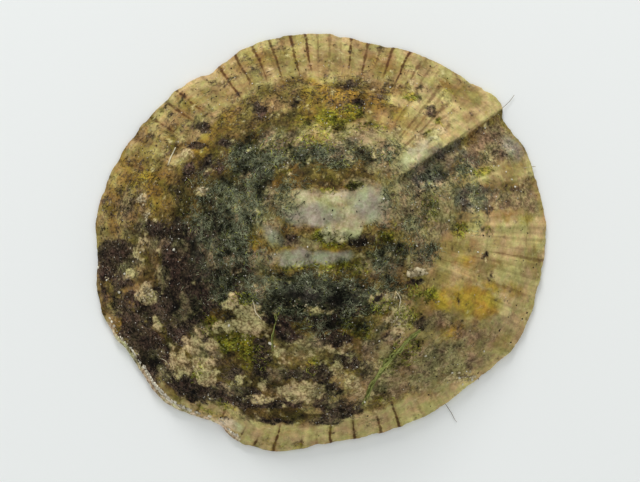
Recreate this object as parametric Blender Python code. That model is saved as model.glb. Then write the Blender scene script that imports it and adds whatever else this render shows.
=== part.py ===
"""Limpet shell: one low, open cone of shell that rests on its rim.

Run it with: blender --background --python part.py
Lengths are in metres, +Z is up, the rim stands on z = 0 and the origin is the middle of the footprint.
Bearings are degrees anticlockwise from +X, taken round the shell's summit.
"""

import math
import random

import bmesh
import bpy
from mathutils import Vector, noise

MM = 0.001

# Driving dimensions. The rim gives the shell's length along X (28 mm) and its width along Y (26 mm).
HEIGHT = 7.6 * MM
WALL_AT_SUMMIT = 1.3 * MM
EDGE_THICKNESS = 0.30 * MM
EDGE_BEVEL = 0.12 * MM
# The rim, as (bearing, distance from the summit in mm): its corners, flats and the chip at 240.
RIM = (
    (0, 13.5), (12, 13.2), (22, 13.1), (30, 12.7), (37, 13.15), (46, 12.55),
    (54, 12.3), (66, 12.0), (78, 11.7), (90, 12.0), (114, 12.35), (127, 12.2),
    (136, 12.75), (150, 13.3), (166, 14.15), (178, 14.7), (187, 14.75), (198, 15.3),
    (207, 15.2), (213, 14.95), (222, 15.15), (228, 15.15), (240, 14.3), (246, 14.7),
    (256, 14.55), (270, 13.6), (284, 13.35), (298, 13.3), (312, 13.25), (329, 13.8), (345, 13.55),
)

# Places along a spoke are shares of the way from the summit, 0, to the rim, 1.
CONTACT_BAND = 0.965  # the underside is flat from here to the rim, which is what the shell stands on
OUTER_BLUNTNESS = 0.20
INNER_BLUNTNESS = 0.30
FLANK_BULGE = 0.06

# Growth stops: each ends in a small step down, as (place, drop).
LEDGES = ((0.30, 0.10 * MM), (0.50, 0.13 * MM), (0.71, 0.15 * MM), (0.895, 0.20 * MM))
LEDGE_HALF_WIDTH = 0.007
LEDGE_CLEARANCE = 3.0 * LEDGE_HALF_WIDTH  # no other ring of the flank comes closer to a ledge
# Growth lines wander in and out along the flank, and round off towards the summit.
WANDER = 0.07
WANDER_ROUND, WANDER_ALONG = 2.0, 3.0  # noise sizes: how often the lines wander in a turn, and from line to line
ROUNDING_SPREAD = range(-40, 41, 10)

# Radial ribs, strongest at the rim, which they make slightly wavy.
RIB_COUNT = 52
SPOKES_PER_RIB = 3
RIB_RELIEF = 0.12 * MM
RIM_WAVE = 0.05 * MM
RIB_SEED = 7
WEAKEST_RIB, STRONGEST_RIB = 0.35, 1.25

# The healed fold: the flank drops along one bearing and comes back up clockwise of it.
FOLD_BEARING = 34.4
FOLD_DROP = 0.38 * MM
FOLD_LEFT_AT_RIM = 0.3  # share of the drop
FOLD_RECOVERY = 15.0
FOLD_START, FOLD_FULL = 0.24, 0.52

# Uneven growth over the flanks, and the pitted summit, where waves have worn the shell.
UNEVENNESS = 0.16 * MM
UNEVEN_SIZE = 4.2 * MM
EVEN_MARGIN = 0.8
PIT_DEPTH = 0.32 * MM
PIT_SIZE = 1.5 * MM
PIT_MEAN = 0.5  # share of PIT_DEPTH that is worn off everywhere
WORN_FLAT, WORN_REACH = 0.12, 0.30

FLANK_RINGS = 13
HOLLOW_RINGS = 8
SPOKES = RIB_COUNT * SPOKES_PER_RIB
MERGE_DISTANCE = 1e-6
SHARP_ANGLE = math.radians(50.0)

WEATHERED_OLIVE = (0.19, 0.15, 0.07, 1.0)
MATT = 0.75

# The turned blank has its outside on one level and its underside on another, so that each point says what it is.
OUTSIDE, UNDERSIDE = 1.0, -1.0


def smoothstep(low, high, value):
    share = min(1.0, max(0.0, (value - low) / (high - low)))
    return share * share * (3.0 - 2.0 * share)


def rim_distance(bearing):
    """The smooth closed curve through RIM's points, in metres."""
    bearing %= 360.0
    count = len(RIM)
    after = next((i for i, (at, _) in enumerate(RIM) if at > bearing), count)

    def point(index):
        at, distance = RIM[index % count]
        return at + 360.0 * (index // count), distance * MM

    (a0, r0), (a1, r1), (a2, r2), (a3, r3) = (point(after + k) for k in (-2, -1, 0, 1))
    span = a2 - a1
    s = (bearing - a1) / span
    slope_1 = (r2 - r0) / (a2 - a0) * span
    slope_2 = (r3 - r1) / (a3 - a1) * span
    return (
        r1 * (1 + 2 * s) * (1 - s) ** 2
        + slope_1 * s * (1 - s) ** 2
        + r2 * s * s * (3 - 2 * s)
        - slope_2 * s * s * (1 - s)
    )


def rounded_distance(bearing):
    """The rim's distance with its corners smoothed away, as the young shell grew."""
    return sum(rim_distance(bearing + turn) for turn in ROUNDING_SPREAD) / len(ROUNDING_SPREAD)


def spoke_length(place, bearing):
    """How long the whole spoke would be, going by the growth line at this place on it."""
    young, grown = rounded_distance(bearing), rim_distance(bearing)
    return young + (grown - young) * smoothstep(0.0, 1.0, place)


def cone_rise(place, bluntness):
    """1 at the summit and 0 at the rim: a cone with a rounded tip and slightly swollen flanks."""
    round_tip = math.hypot(place, bluntness) - bluntness
    whole = math.hypot(1.0, bluntness) - bluntness
    return 1.0 - round_tip / whole + FLANK_BULGE * 4.0 * place * (1.0 - place)


def growth_swell(place):
    """The flank thickens towards each ledge, then steps down to where the next band began."""
    start = 0.0
    for ledge, drop in LEDGES:
        if place <= ledge:
            return drop * ((place - start) / (ledge - start)) ** 2
        start = ledge
    return 0.0


def rib_strengths():
    dice = random.Random(RIB_SEED)
    return [dice.uniform(WEAKEST_RIB, STRONGEST_RIB) for _ in range(RIB_COUNT)]


STRENGTHS = rib_strengths()


def rib_height(bearing):
    """0 between the ribs, and each rib's own strength on its crest."""
    along = bearing / 360.0 * RIB_COUNT
    nearest = round(along)
    crest = 0.5 + 0.5 * math.cos(2.0 * math.pi * (along - nearest))
    return STRENGTHS[nearest % RIB_COUNT] * crest


def fold_drop(place, bearing):
    """How far the fold lowers the flank: most right beside it, less and less clockwise."""
    clockwise_of_fold = (FOLD_BEARING - bearing) % 360.0
    depth = FOLD_DROP * math.exp(-clockwise_of_fold / FOLD_RECOVERY)
    fading = 1.0 - (1.0 - FOLD_LEFT_AT_RIM) * smoothstep(EVEN_MARGIN, 1.0, place)
    return depth * fading * smoothstep(FOLD_START, FOLD_FULL, place)


def outer_height(place, bearing, flat):
    """Height of the outside at this place of the spoke. flat is the same point, seen from above."""
    height = EDGE_THICKNESS + (HEIGHT - EDGE_THICKNESS) * cone_rise(place, OUTER_BLUNTNESS)
    height += growth_swell(place)
    height += RIB_RELIEF * rib_height(bearing) * place
    height -= fold_drop(place, bearing)
    uneven = UNEVENNESS * noise.noise(flat / UNEVEN_SIZE)
    height += uneven * (1.0 - smoothstep(EVEN_MARGIN, 1.0, place))
    worn = 1.0 - smoothstep(WORN_FLAT, WORN_REACH, place)
    height -= PIT_DEPTH * worn * (PIT_MEAN + noise.noise(flat / PIT_SIZE))
    return height


def under_height(place):
    """The smooth hollow, which ends in the flat contact band."""
    if place >= CONTACT_BAND:
        return 0.0
    return (HEIGHT - WALL_AT_SUMMIT) * cone_rise(place / CONTACT_BAND, INNER_BLUNTNESS)


def press_to_shape(blank_point):
    """Where a point of the turned blank lies on the shell, with the summit over the origin."""
    place = math.hypot(blank_point.x, blank_point.y)
    bearing = math.degrees(math.atan2(blank_point.y, blank_point.x)) % 360.0
    direction = Vector((math.cos(math.radians(bearing)), math.sin(math.radians(bearing)), 0.0))
    reach = spoke_length(place, bearing) + RIM_WAVE * rib_height(bearing) * place
    if blank_point.z < 0.0:
        return direction * (reach * place) + Vector((0.0, 0.0, under_height(place)))
    where = direction * WANDER_ROUND + Vector((0.0, 0.0, place * WANDER_ALONG))
    wander = WANDER * noise.noise(where) * place * (1.0 - place)
    flat = direction * reach * (place + wander)
    return flat + Vector((0.0, 0.0, outer_height(place, bearing, flat)))


def blank_profile():
    """Half of the blank's cross-section: out along the outside, round the edge and back along the underside."""
    flank = [ring / FLANK_RINGS for ring in range(FLANK_RINGS + 1)]
    for ledge, _ in LEDGES:
        flank = [place for place in flank if abs(place - ledge) > LEDGE_CLEARANCE]
        flank += [ledge - LEDGE_HALF_WIDTH, ledge + LEDGE_HALF_WIDTH]
    hollow = [CONTACT_BAND * (1.0 - ring / HOLLOW_RINGS) for ring in range(HOLLOW_RINGS + 1)]
    bevel = 1.0 - EDGE_BEVEL / rim_distance(0.0)
    outside = [(place, OUTSIDE) for place in sorted(flank)]
    underside = [(place, UNDERSIDE) for place in [bevel, *hollow]]
    return outside + underside


def turn_blank(mesh):
    """Spins the profile into a closed double disc."""
    chain = [mesh.verts.new((place, 0.0, level)) for place, level in blank_profile()]
    edges = [mesh.edges.new(pair) for pair in zip(chain, chain[1:])]
    bmesh.ops.spin(
        mesh,
        geom=chain + edges,
        cent=(0.0, 0.0, 0.0),
        axis=(0.0, 0.0, 1.0),
        angle=2.0 * math.pi,
        steps=SPOKES,
        use_merge=True,
    )
    bmesh.ops.remove_doubles(mesh, verts=mesh.verts, dist=MERGE_DISTANCE)


def centre_on_footprint(mesh):
    """Moves the summit off the origin, so that the footprint's middle lies there."""
    for axis in (0, 1):
        places = [vert.co[axis] for vert in mesh.verts]
        shift = Vector((0.0, 0.0, 0.0))
        shift[axis] = -(min(places) + max(places)) / 2.0
        bmesh.ops.translate(mesh, verts=mesh.verts, vec=shift)


def shell_material():
    material = bpy.data.materials.new("weathered_shell")
    material.use_nodes = True
    surface = material.node_tree.nodes["Principled BSDF"]
    surface.inputs["Base Color"].default_value = WEATHERED_OLIVE
    surface.inputs["Roughness"].default_value = MATT
    surface.inputs["Metallic"].default_value = 0.0
    return material


def limpet_shell():
    mesh = bmesh.new()
    turn_blank(mesh)
    for vert in mesh.verts:
        vert.co = press_to_shape(vert.co)
    centre_on_footprint(mesh)
    bmesh.ops.recalc_face_normals(mesh, faces=mesh.faces)
    data = bpy.data.meshes.new("limpet_shell")
    mesh.to_mesh(data)
    mesh.free()
    data.shade_smooth()
    data.set_sharp_from_angle(angle=SHARP_ANGLE)
    data.materials.append(shell_material())
    shell = bpy.data.objects.new("limpet_shell", data)
    bpy.context.scene.collection.objects.link(shell)
    return shell


for leftover in list(bpy.data.objects):
    bpy.data.objects.remove(leftover)
limpet_shell()
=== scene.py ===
# %% [markdown]
# # A weathered limpet shell
#
# A limpet's shell is a low, open cone that one sea snail built round its body, a little more at the rim
# each season. This one has lain on wet rock for years: fine ribs and growth lines still show at the
# margin, and the rest is stained, pitted at the summit, and overgrown with alga, crusts and a felt of
# fine threads.
#
# The lesson builds it in the order in which it grew: the shell itself, what stains it, what crusts it
# over, and last the loose threads, grains and flakes that lie on it.

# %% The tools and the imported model
import math
import random

import bmesh
import bpy
import numpy as np
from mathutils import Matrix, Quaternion, Vector, noise
from mathutils.bvhtree import BVHTree


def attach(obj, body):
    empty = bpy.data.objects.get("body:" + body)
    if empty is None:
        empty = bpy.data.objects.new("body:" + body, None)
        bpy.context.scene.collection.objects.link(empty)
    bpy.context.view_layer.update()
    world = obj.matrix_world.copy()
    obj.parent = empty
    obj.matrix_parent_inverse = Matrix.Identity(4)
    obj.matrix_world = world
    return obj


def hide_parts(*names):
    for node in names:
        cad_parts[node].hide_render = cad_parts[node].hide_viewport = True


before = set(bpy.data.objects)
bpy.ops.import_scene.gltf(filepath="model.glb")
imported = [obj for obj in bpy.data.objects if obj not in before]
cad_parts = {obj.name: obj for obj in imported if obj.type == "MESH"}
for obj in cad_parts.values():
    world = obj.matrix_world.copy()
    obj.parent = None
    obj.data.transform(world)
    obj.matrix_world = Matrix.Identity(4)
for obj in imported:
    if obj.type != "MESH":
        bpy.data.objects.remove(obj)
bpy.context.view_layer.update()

MM = 0.001
cad_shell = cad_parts["limpet_shell"]

# %% [markdown]
# ## The camera
#
# The shell is seen from straight above, as a specimen is recorded. A long lens from a little over a
# hand's breadth keeps the flanks from looking steep. The camera comes first, because the stains below are
# laid out as they are seen from it: a place on the shell can then be given by the pixel at which it
# shows.

# %% A camera straight above
VIEW_WIDTH, VIEW_HEIGHT = 640, 482
CAMERA_HEIGHT = 111.9 * MM
CAMERA_X, CAMERA_Y = -0.06 * MM, 0.10 * MM
LENS, SENSOR = 100.0, 36.0
PIXEL = CAMERA_HEIGHT * SENSOR / LENS / VIEW_WIDTH

camera_lens = bpy.data.cameras.new("overhead")
camera_lens.lens, camera_lens.sensor_width = LENS, SENSOR
camera_lens.clip_start, camera_lens.clip_end = 5 * MM, 5.0
camera = bpy.data.objects.new("overhead", camera_lens)
camera.location = (CAMERA_X, CAMERA_Y, CAMERA_HEIGHT)
bpy.context.scene.collection.objects.link(camera)
bpy.context.scene.camera = camera
bpy.context.scene.view_settings.view_transform = "Standard"


def pixels_of(points):
    """Where the camera sees these points, as columns of pixels across and down."""
    nearness = CAMERA_HEIGHT / (CAMERA_HEIGHT - points[:, 2])
    across = VIEW_WIDTH / 2 + (points[:, 0] - CAMERA_X) * nearness / PIXEL
    down = VIEW_HEIGHT / 2 - (points[:, 1] - CAMERA_Y) * nearness / PIXEL
    return np.stack([across, down], axis=1)


print("one pixel on the table spans", round(PIXEL / MM, 4), "mm")

# %% [markdown]
# ## The form of the shell
#
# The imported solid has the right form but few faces, so the shell is made again here, much finer, from the
# same driving dimensions. Every point is given by its bearing round the summit and its place on the way
# from the summit, 0, to the rim, 1. That is how a limpet grows, so ribs are lines of one bearing and
# growth lines are lines of one place, and each can be written as a short formula.

# %% Driving dimensions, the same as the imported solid's
HEIGHT = 7.6 * MM
WALL_AT_SUMMIT = 1.3 * MM
EDGE_THICKNESS = 0.30 * MM
EDGE_BEVEL = 0.12 * MM
RIM = (
    (0, 13.5), (12, 13.2), (22, 13.1), (30, 12.7), (37, 13.15), (46, 12.55),
    (54, 12.3), (66, 12.0), (78, 11.7), (90, 12.0), (114, 12.35), (127, 12.2),
    (136, 12.75), (150, 13.3), (166, 14.15), (178, 14.7), (187, 14.75), (198, 15.3),
    (207, 15.2), (213, 14.95), (222, 15.15), (228, 15.15), (240, 14.3), (246, 14.7),
    (256, 14.55), (270, 13.6), (284, 13.35), (298, 13.3), (312, 13.25), (329, 13.8), (345, 13.55),
)
CONTACT_BAND = 0.965
OUTER_BLUNTNESS, INNER_BLUNTNESS, FLANK_BULGE = 0.20, 0.30, 0.06
LEDGES = ((0.30, 0.10 * MM), (0.50, 0.13 * MM), (0.71, 0.15 * MM), (0.895, 0.20 * MM))
LEDGE_HALF_WIDTH = 0.007
WANDER, WANDER_ROUND, WANDER_ALONG = 0.07, 2.0, 3.0
ROUNDING_SPREAD = range(-40, 41, 10)
RIB_COUNT, SPOKES_PER_RIB = 52, 3
RIB_RELIEF, RIM_WAVE, RIB_SEED = 0.12 * MM, 0.05 * MM, 7
WEAKEST_RIB, STRONGEST_RIB = 0.35, 1.25
FOLD_BEARING, FOLD_DROP, FOLD_LEFT_AT_RIM, FOLD_RECOVERY = 34.4, 0.38 * MM, 0.3, 15.0
FOLD_START, FOLD_FULL = 0.24, 0.52
UNEVENNESS, UNEVEN_SIZE, EVEN_MARGIN = 0.16 * MM, 4.2 * MM, 0.8
PIT_DEPTH, PIT_SIZE, PIT_MEAN = 0.32 * MM, 1.5 * MM, 0.5
WORN_FLAT, WORN_REACH = 0.12, 0.30
print(len(RIM), "points on the rim,", len(LEDGES), "ledges and", RIB_COUNT, "ribs")

# %% Small helpers for whole columns of numbers
def smoothstep(low, high, value):
    share = np.clip((value - low) / (high - low), 0.0, 1.0)
    return share * share * (3.0 - 2.0 * share)


def noise_at(points):
    """Smooth noise between about -0.7 and 0.7, one value for each row of points."""
    return np.array([noise.noise(point) for point in points.tolist()])


def deep_noise_at(points, octaves=4):
    """The same with finer and finer layers, as in stone or crust."""
    return np.array([noise.fractal(point, 1.0, 2.0, octaves) for point in points.tolist()])


def headings(bearing):
    """Flat unit vectors that point along these bearings."""
    turn = np.radians(bearing)
    return np.stack([np.cos(turn), np.sin(turn), np.zeros_like(turn)], axis=1)


# %% The rim, and the spokes that end on it
def rim_distance(bearing):
    """The smooth closed curve through RIM's points, in metres."""
    corners, distances = np.array(RIM, float).T
    count = len(corners)
    turn = np.asarray(bearing, float) % 360.0
    after = np.searchsorted(corners, turn, side="right")

    def corner(step):
        index = after + step
        return corners[index % count] + 360.0 * (index // count), distances[index % count] * MM

    (a0, r0), (a1, r1), (a2, r2), (a3, r3) = (corner(step) for step in (-2, -1, 0, 1))
    span = a2 - a1
    s = (turn - a1) / span
    slope_1 = (r2 - r0) / (a2 - a0) * span
    slope_2 = (r3 - r1) / (a3 - a1) * span
    start = r1 * (1 + 2 * s) * (1 - s) ** 2 + slope_1 * s * (1 - s) ** 2
    return start + r2 * s * s * (3 - 2 * s) - slope_2 * s * s * (1 - s)


def rib_strengths():
    dice = random.Random(RIB_SEED)
    return np.array([dice.uniform(WEAKEST_RIB, STRONGEST_RIB) for _ in range(RIB_COUNT)])


STRENGTHS = rib_strengths()


def rib_height(bearing):
    along = bearing / 360.0 * RIB_COUNT
    nearest = np.rint(along)
    crest = 0.5 + 0.5 * np.cos(2.0 * math.pi * (along - nearest))
    return STRENGTHS[nearest.astype(int) % RIB_COUNT] * crest


def spoke_reach(place, bearing):
    """How long the spoke through this point is: the rim's corners only show towards the rim."""
    young = sum(rim_distance(bearing + turn) for turn in ROUNDING_SPREAD) / len(ROUNDING_SPREAD)
    grown = rim_distance(bearing)
    return young + (grown - young) * smoothstep(0.0, 1.0, place) + RIM_WAVE * rib_height(bearing) * place


print("the rim lies", (rim_distance((0.0, 90.0, 180.0, 270.0)) / MM).round(1), "mm from the summit")

# %% The height of the outside and of the hollow
def cone_rise(place, bluntness):
    """1 at the summit and 0 at the rim: a cone with a rounded tip and slightly swollen flanks."""
    round_tip = np.hypot(place, bluntness) - bluntness
    whole = math.hypot(1.0, bluntness) - bluntness
    return 1.0 - round_tip / whole + FLANK_BULGE * 4.0 * place * (1.0 - place)


def growth_swell(place):
    """The flank thickens towards each ledge, then steps down to where the next band began."""
    swell = np.zeros_like(place)
    start = 0.0
    for ledge, drop in LEDGES:
        inside = (place > start) & (place <= ledge + LEDGE_HALF_WIDTH)
        climb = drop * (np.clip(place - start, 0.0, ledge - start) / (ledge - start)) ** 2
        step = 1.0 - smoothstep(ledge - LEDGE_HALF_WIDTH, ledge + LEDGE_HALF_WIDTH, place)
        swell = np.where(inside, np.maximum(swell, climb * step), swell)
        start = ledge
    return swell


def fold_drop(place, bearing):
    """How far the healed fold lowers the flank: most right beside it, less and less clockwise."""
    clockwise = (FOLD_BEARING - bearing) % 360.0
    depth = FOLD_DROP * np.exp(-clockwise / FOLD_RECOVERY)
    fading = 1.0 - (1.0 - FOLD_LEFT_AT_RIM) * smoothstep(EVEN_MARGIN, 1.0, place)
    return depth * fading * smoothstep(FOLD_START, FOLD_FULL, place)


def outer_form(place, bearing):
    """Points of the outside without its finest relief, the summit over the origin."""
    heading = headings(bearing)
    where = heading * WANDER_ROUND
    where[:, 2] = place * WANDER_ALONG
    wander = WANDER * noise_at(where) * place * (1.0 - place)
    flat = heading * (spoke_reach(place, bearing) * (place + wander))[:, None]
    height = EDGE_THICKNESS + (HEIGHT - EDGE_THICKNESS) * cone_rise(place, OUTER_BLUNTNESS)
    height += growth_swell(place) + RIB_RELIEF * rib_height(bearing) * place - fold_drop(place, bearing)
    height += UNEVENNESS * noise_at(flat / UNEVEN_SIZE) * (1.0 - smoothstep(EVEN_MARGIN, 1.0, place))
    worn = 1.0 - smoothstep(WORN_FLAT, WORN_REACH, place)
    height -= PIT_DEPTH * worn * (PIT_MEAN + noise_at(flat / PIT_SIZE))
    flat[:, 2] = height
    return flat


def hollow_form(place, bearing):
    """Points of the underside: the smooth hollow, which ends in the flat band that the shell stands on."""
    flat = headings(bearing) * (spoke_reach(place, bearing) * place)[:, None]
    rise = (HEIGHT - WALL_AT_SUMMIT) * cone_rise(place / CONTACT_BAND, INNER_BLUNTNESS)
    flat[:, 2] = np.where(place >= CONTACT_BAND, 0.0, rise)
    return flat


def summit_offset():
    """Where the summit stands when the footprint's middle is the origin, by the solid's own spokes."""
    count = RIB_COUNT * SPOKES_PER_RIB
    spokes = np.arange(count) * 360.0 / count
    rim = headings(spokes) * spoke_reach(np.ones_like(spokes), spokes)[:, None]
    return -(rim.min(axis=0) + rim.max(axis=0)) / 2.0


SUMMIT = summit_offset()
print("the summit stands at", (SUMMIT[:2] / MM).round(3), "mm")

# %% [markdown]
# ## One closed skin
#
# A spun disc would crowd thousands of faces at the summit and leave the rim coarse. A square grid has
# faces of one size, and it becomes a disc when each of its square rings is bent into a circle. So two
# grids are made, a fine one for the outside and a coarser one for the hollow. The outside's border is
# extruded twice to turn the rim's edge, and then bridged to the hollow's border. Each vertex keeps in its
# height which part it is.

# %% The blank: two grids joined at their borders
OUTER_SEGMENTS, HOLLOW_SEGMENTS = 284, 110
OUTSIDE, EDGE_MIDDLE, EDGE_FOOT, UNDERSIDE = 1.0, 0.5, 0.0, -1.0
EDGE_SWELL = 0.03 * MM


def border_of(grid_edges):
    return [edge for edge in grid_edges if edge.is_boundary]


def turn_edge_down(mesh, border, level):
    """Extrudes a border loop and moves the new loop to another level."""
    made = bmesh.ops.extrude_edge_only(mesh, edges=border)["geom"]
    verts = [item for item in made if isinstance(item, bmesh.types.BMVert)]
    for vert in verts:
        vert.co.z = level
    edges = [item for item in made if isinstance(item, bmesh.types.BMEdge)]
    return [edge for edge in edges if all(vert.co.z == level for vert in edge.verts)]


def make_blank():
    mesh = bmesh.new()
    bmesh.ops.create_grid(mesh, x_segments=OUTER_SEGMENTS, y_segments=OUTER_SEGMENTS, size=1.0)
    for vert in mesh.verts:
        vert.co.z = OUTSIDE
    edge_loop = border_of(mesh.edges)
    for level in (EDGE_MIDDLE, EDGE_FOOT):
        edge_loop = turn_edge_down(mesh, edge_loop, level)
    hollow = bmesh.ops.create_grid(mesh, x_segments=HOLLOW_SEGMENTS, y_segments=HOLLOW_SEGMENTS, size=1.0)
    for vert in hollow["verts"]:
        vert.co.z = UNDERSIDE
    inner_loop = border_of({edge for vert in hollow["verts"] for edge in vert.link_edges})
    bmesh.ops.bridge_loops(mesh, edges=edge_loop + inner_loop)
    bmesh.ops.recalc_face_normals(mesh, faces=mesh.faces)
    data = bpy.data.meshes.new("shell")
    mesh.to_mesh(data)
    mesh.free()
    return data


def column(data, kind, name, width, dtype=float):
    """All values of one property of a mesh's vertices, faces or corners."""
    values = np.empty(len(getattr(data, kind)) * width, dtype)
    getattr(data, kind).foreach_get(name, values)
    return values.reshape(-1, width) if width > 1 else values


shell_data = make_blank()
blank = column(shell_data, "vertices", "co", 3)
level = blank[:, 2]
print("blank:", len(blank), "vertices,", len(shell_data.polygons), "faces")

# %% From squares to circles
EIGHTH_TURN = 45.0


def square_to_disc(right, up):
    """Bends each square ring of a grid into a circle: returns the place and the bearing."""
    place = np.maximum(np.abs(right), np.abs(up))
    longer = np.where(place > 0.0, place, 1.0)
    is_side = np.abs(right) >= np.abs(up)
    from_side = EIGHTH_TURN * up / longer * np.where(right >= 0.0, 1.0, -1.0)
    from_top = EIGHTH_TURN * right / longer * np.where(up >= 0.0, 1.0, -1.0)
    by_side = np.where(right >= 0.0, 0.0, 180.0) + from_side
    by_top = np.where(up >= 0.0, 90.0, 270.0) - from_top
    return place, np.where(is_side, by_side, by_top) % 360.0


place, bearing = square_to_disc(blank[:, 0], blank[:, 1])
is_outside = level == OUTSIDE
is_hollow = level == UNDERSIDE
is_edge = ~is_outside & ~is_hollow
print("outside", is_outside.sum(), "edge", is_edge.sum(), "hollow", is_hollow.sum(), "vertices")

# %% [markdown]
# ## What grows where
#
# Nothing on a weathered shell is spread evenly. Each stain and growth is laid out as soft patches, and
# as bands between two bearings and two places where it follows the shell's own growth. A patch is 1 well
# inside, 0 well outside and 0.5 at its edge, times its strength. The layout is stored on the vertices,
# and the material later breaks those soft edges up with noise, so that they come out as ragged as real
# ones.

# %% The outside as it stands so far, and where the camera sees it
outside_place, outside_bearing = place[~is_hollow], bearing[~is_hollow]
form = outer_form(outside_place, outside_bearing)
seen = pixels_of(form + SUMMIT)
print(len(form), "points on the outside and the edge")

# %% Outlines that wander by some pixels
DRIFT_SIZE, DRIFT = 1.9 * MM, 4.5
SMALL_DRIFT_SIZE, SMALL_DRIFT = 0.55 * MM, 3.5
SECOND_FIELD = np.array([0.05, 0.02, 0.0])  # metres to where the same noise looks like another one


def drift_in(field):
    large = DRIFT * noise_at((form + field) / DRIFT_SIZE)
    return large + SMALL_DRIFT * noise_at((form + field) / SMALL_DRIFT_SIZE)


drift = np.stack([drift_in(0.0 * SECOND_FIELD), drift_in(SECOND_FIELD)], axis=1)
print("outlines wander by", np.abs(drift).mean().round(1), "pixels on average")

# %% Patches and bands
FADED_OUT = 1.5  # a patch ends this far from its middle, where 1 is its edge, at which it is half faded
BAND_DRIFT = 0.04  # a band's edge wanders by this share of its softness for each pixel of drift
SOFT, CRISP = 1.3 * MM, 0.30 * MM


def patches(*spots):
    """Soft ellipses: (pixels across, pixels down, half length, half width, turn anticlockwise, strength)."""
    amount = np.zeros(len(seen))
    for across, down, half_length, half_width, turn, strength in spots:
        right = seen[:, 0] + drift[:, 0] - across
        up = down - seen[:, 1] + drift[:, 1]
        c, s = math.cos(math.radians(turn)), math.sin(math.radians(turn))
        gone = np.hypot((right * c + up * s) / half_length, (up * c - right * s) / half_width)
        amount = np.maximum(amount, strength * np.clip(FADED_OUT - gone, 0.0, 1.0))
    return amount


def bands(*spans, softness=SOFT):
    """Arcs: (from bearing, to bearing, from place, to place, strength)."""
    amount = np.zeros(len(seen))
    reach = rim_distance(outside_bearing)
    for from_bearing, to_bearing, from_place, to_place, strength in spans:
        middle = (from_bearing + to_bearing) / 2.0
        half = (to_bearing - from_bearing) / 2.0
        turn = np.abs((outside_bearing - middle + 180.0) % 360.0 - 180.0) - half
        aside = np.radians(turn) * outside_place * reach
        beyond = np.maximum(from_place - outside_place, outside_place - to_place) * reach
        outside_by = np.maximum(aside, beyond) + drift[:, 0] * softness * BAND_DRIFT
        amount = np.maximum(amount, strength * np.clip(0.5 - outside_by / softness, 0.0, 1.0))
    return amount


# %% Recording the growths
def strongest(*layouts):
    """Joins layouts: at each point the strongest of them counts."""
    return np.max(layouts, axis=0)


growths = {}


def grow(name, amount):
    """Records how much of one growth lies at each point of the outside."""
    growths[name] = amount
    print(name, "covers", round(100 * float((amount > 0.5).mean())), "% of the outside")

# %% Umber stains
grow("umber", strongest(
    bands((100, 172, 0.30, 0.70, 0.75), (172, 290, 0.30, 0.84, 0.85)),
    patches(
        (210, 170, 22, 26, 20, 1.4), (276, 224, 10, 13, 0, 1.0), (374, 422, 14, 7, 0, 0.8),
        (326, 421, 15, 6, 0, 1.3), (184, 188, 12, 20, 10, 0.7), (229, 317, 8, 5, 0, 1.3),
        (247, 352, 26, 17, 0, 0.9), (306, 174, 29, 12, 8, 1.4), (350, 172, 16, 6, -10, 1.0),
        (336, 98, 20, 12, 0, 0.7), (346, 84, 11, 5, 0, 1.0), (345, 270, 34, 10, 0, 1.0),
        (345, 320, 30, 13, 5, 0.9), (266, 414, 36, 8, 0, 1.5), (326, 182, 20, 5, 0, 1.0),
        (215, 396, 36, 6, -22, 0.8), (108, 276, 14, 26, 0, 1.0), (335, 330, 24, 10, 0, 0.9),
        (218, 352, 8, 9, 0, 1.1), (445, 92, 12, 5, -60, 0.9), (430, 106, 7, 6, 0, 0.9),
        (240, 64, 16, 7, 30, 0.45), (278, 50, 22, 10, 10, 0.5), (290, 241, 10, 7, 0, 1.2),
        (235, 374, 12, 7, 0, 1.2), (302, 168, 18, 7, 0, 1.2), (312, 374, 15, 8, 0, 1.2),
        (294, 342, 12, 8, 0, 1.1), (252, 203, 9, 8, 0, 0.8), (110, 290, 14, 30, -10, 0.7),
        (172, 232, 40, 20, 0, 0.8), (206, 341, 5, 6, 0, 1.1), (400, 176, 22, 12, 10, 0.5),
        (186, 290, 22, 34, 0, 1.0), (230, 346, 9, 10, 0, 1.0), (330, 168, 34, 5, 0, 0.9),
        (315, 150, 30, 5, 5, 0.5),
    ),
))

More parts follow.
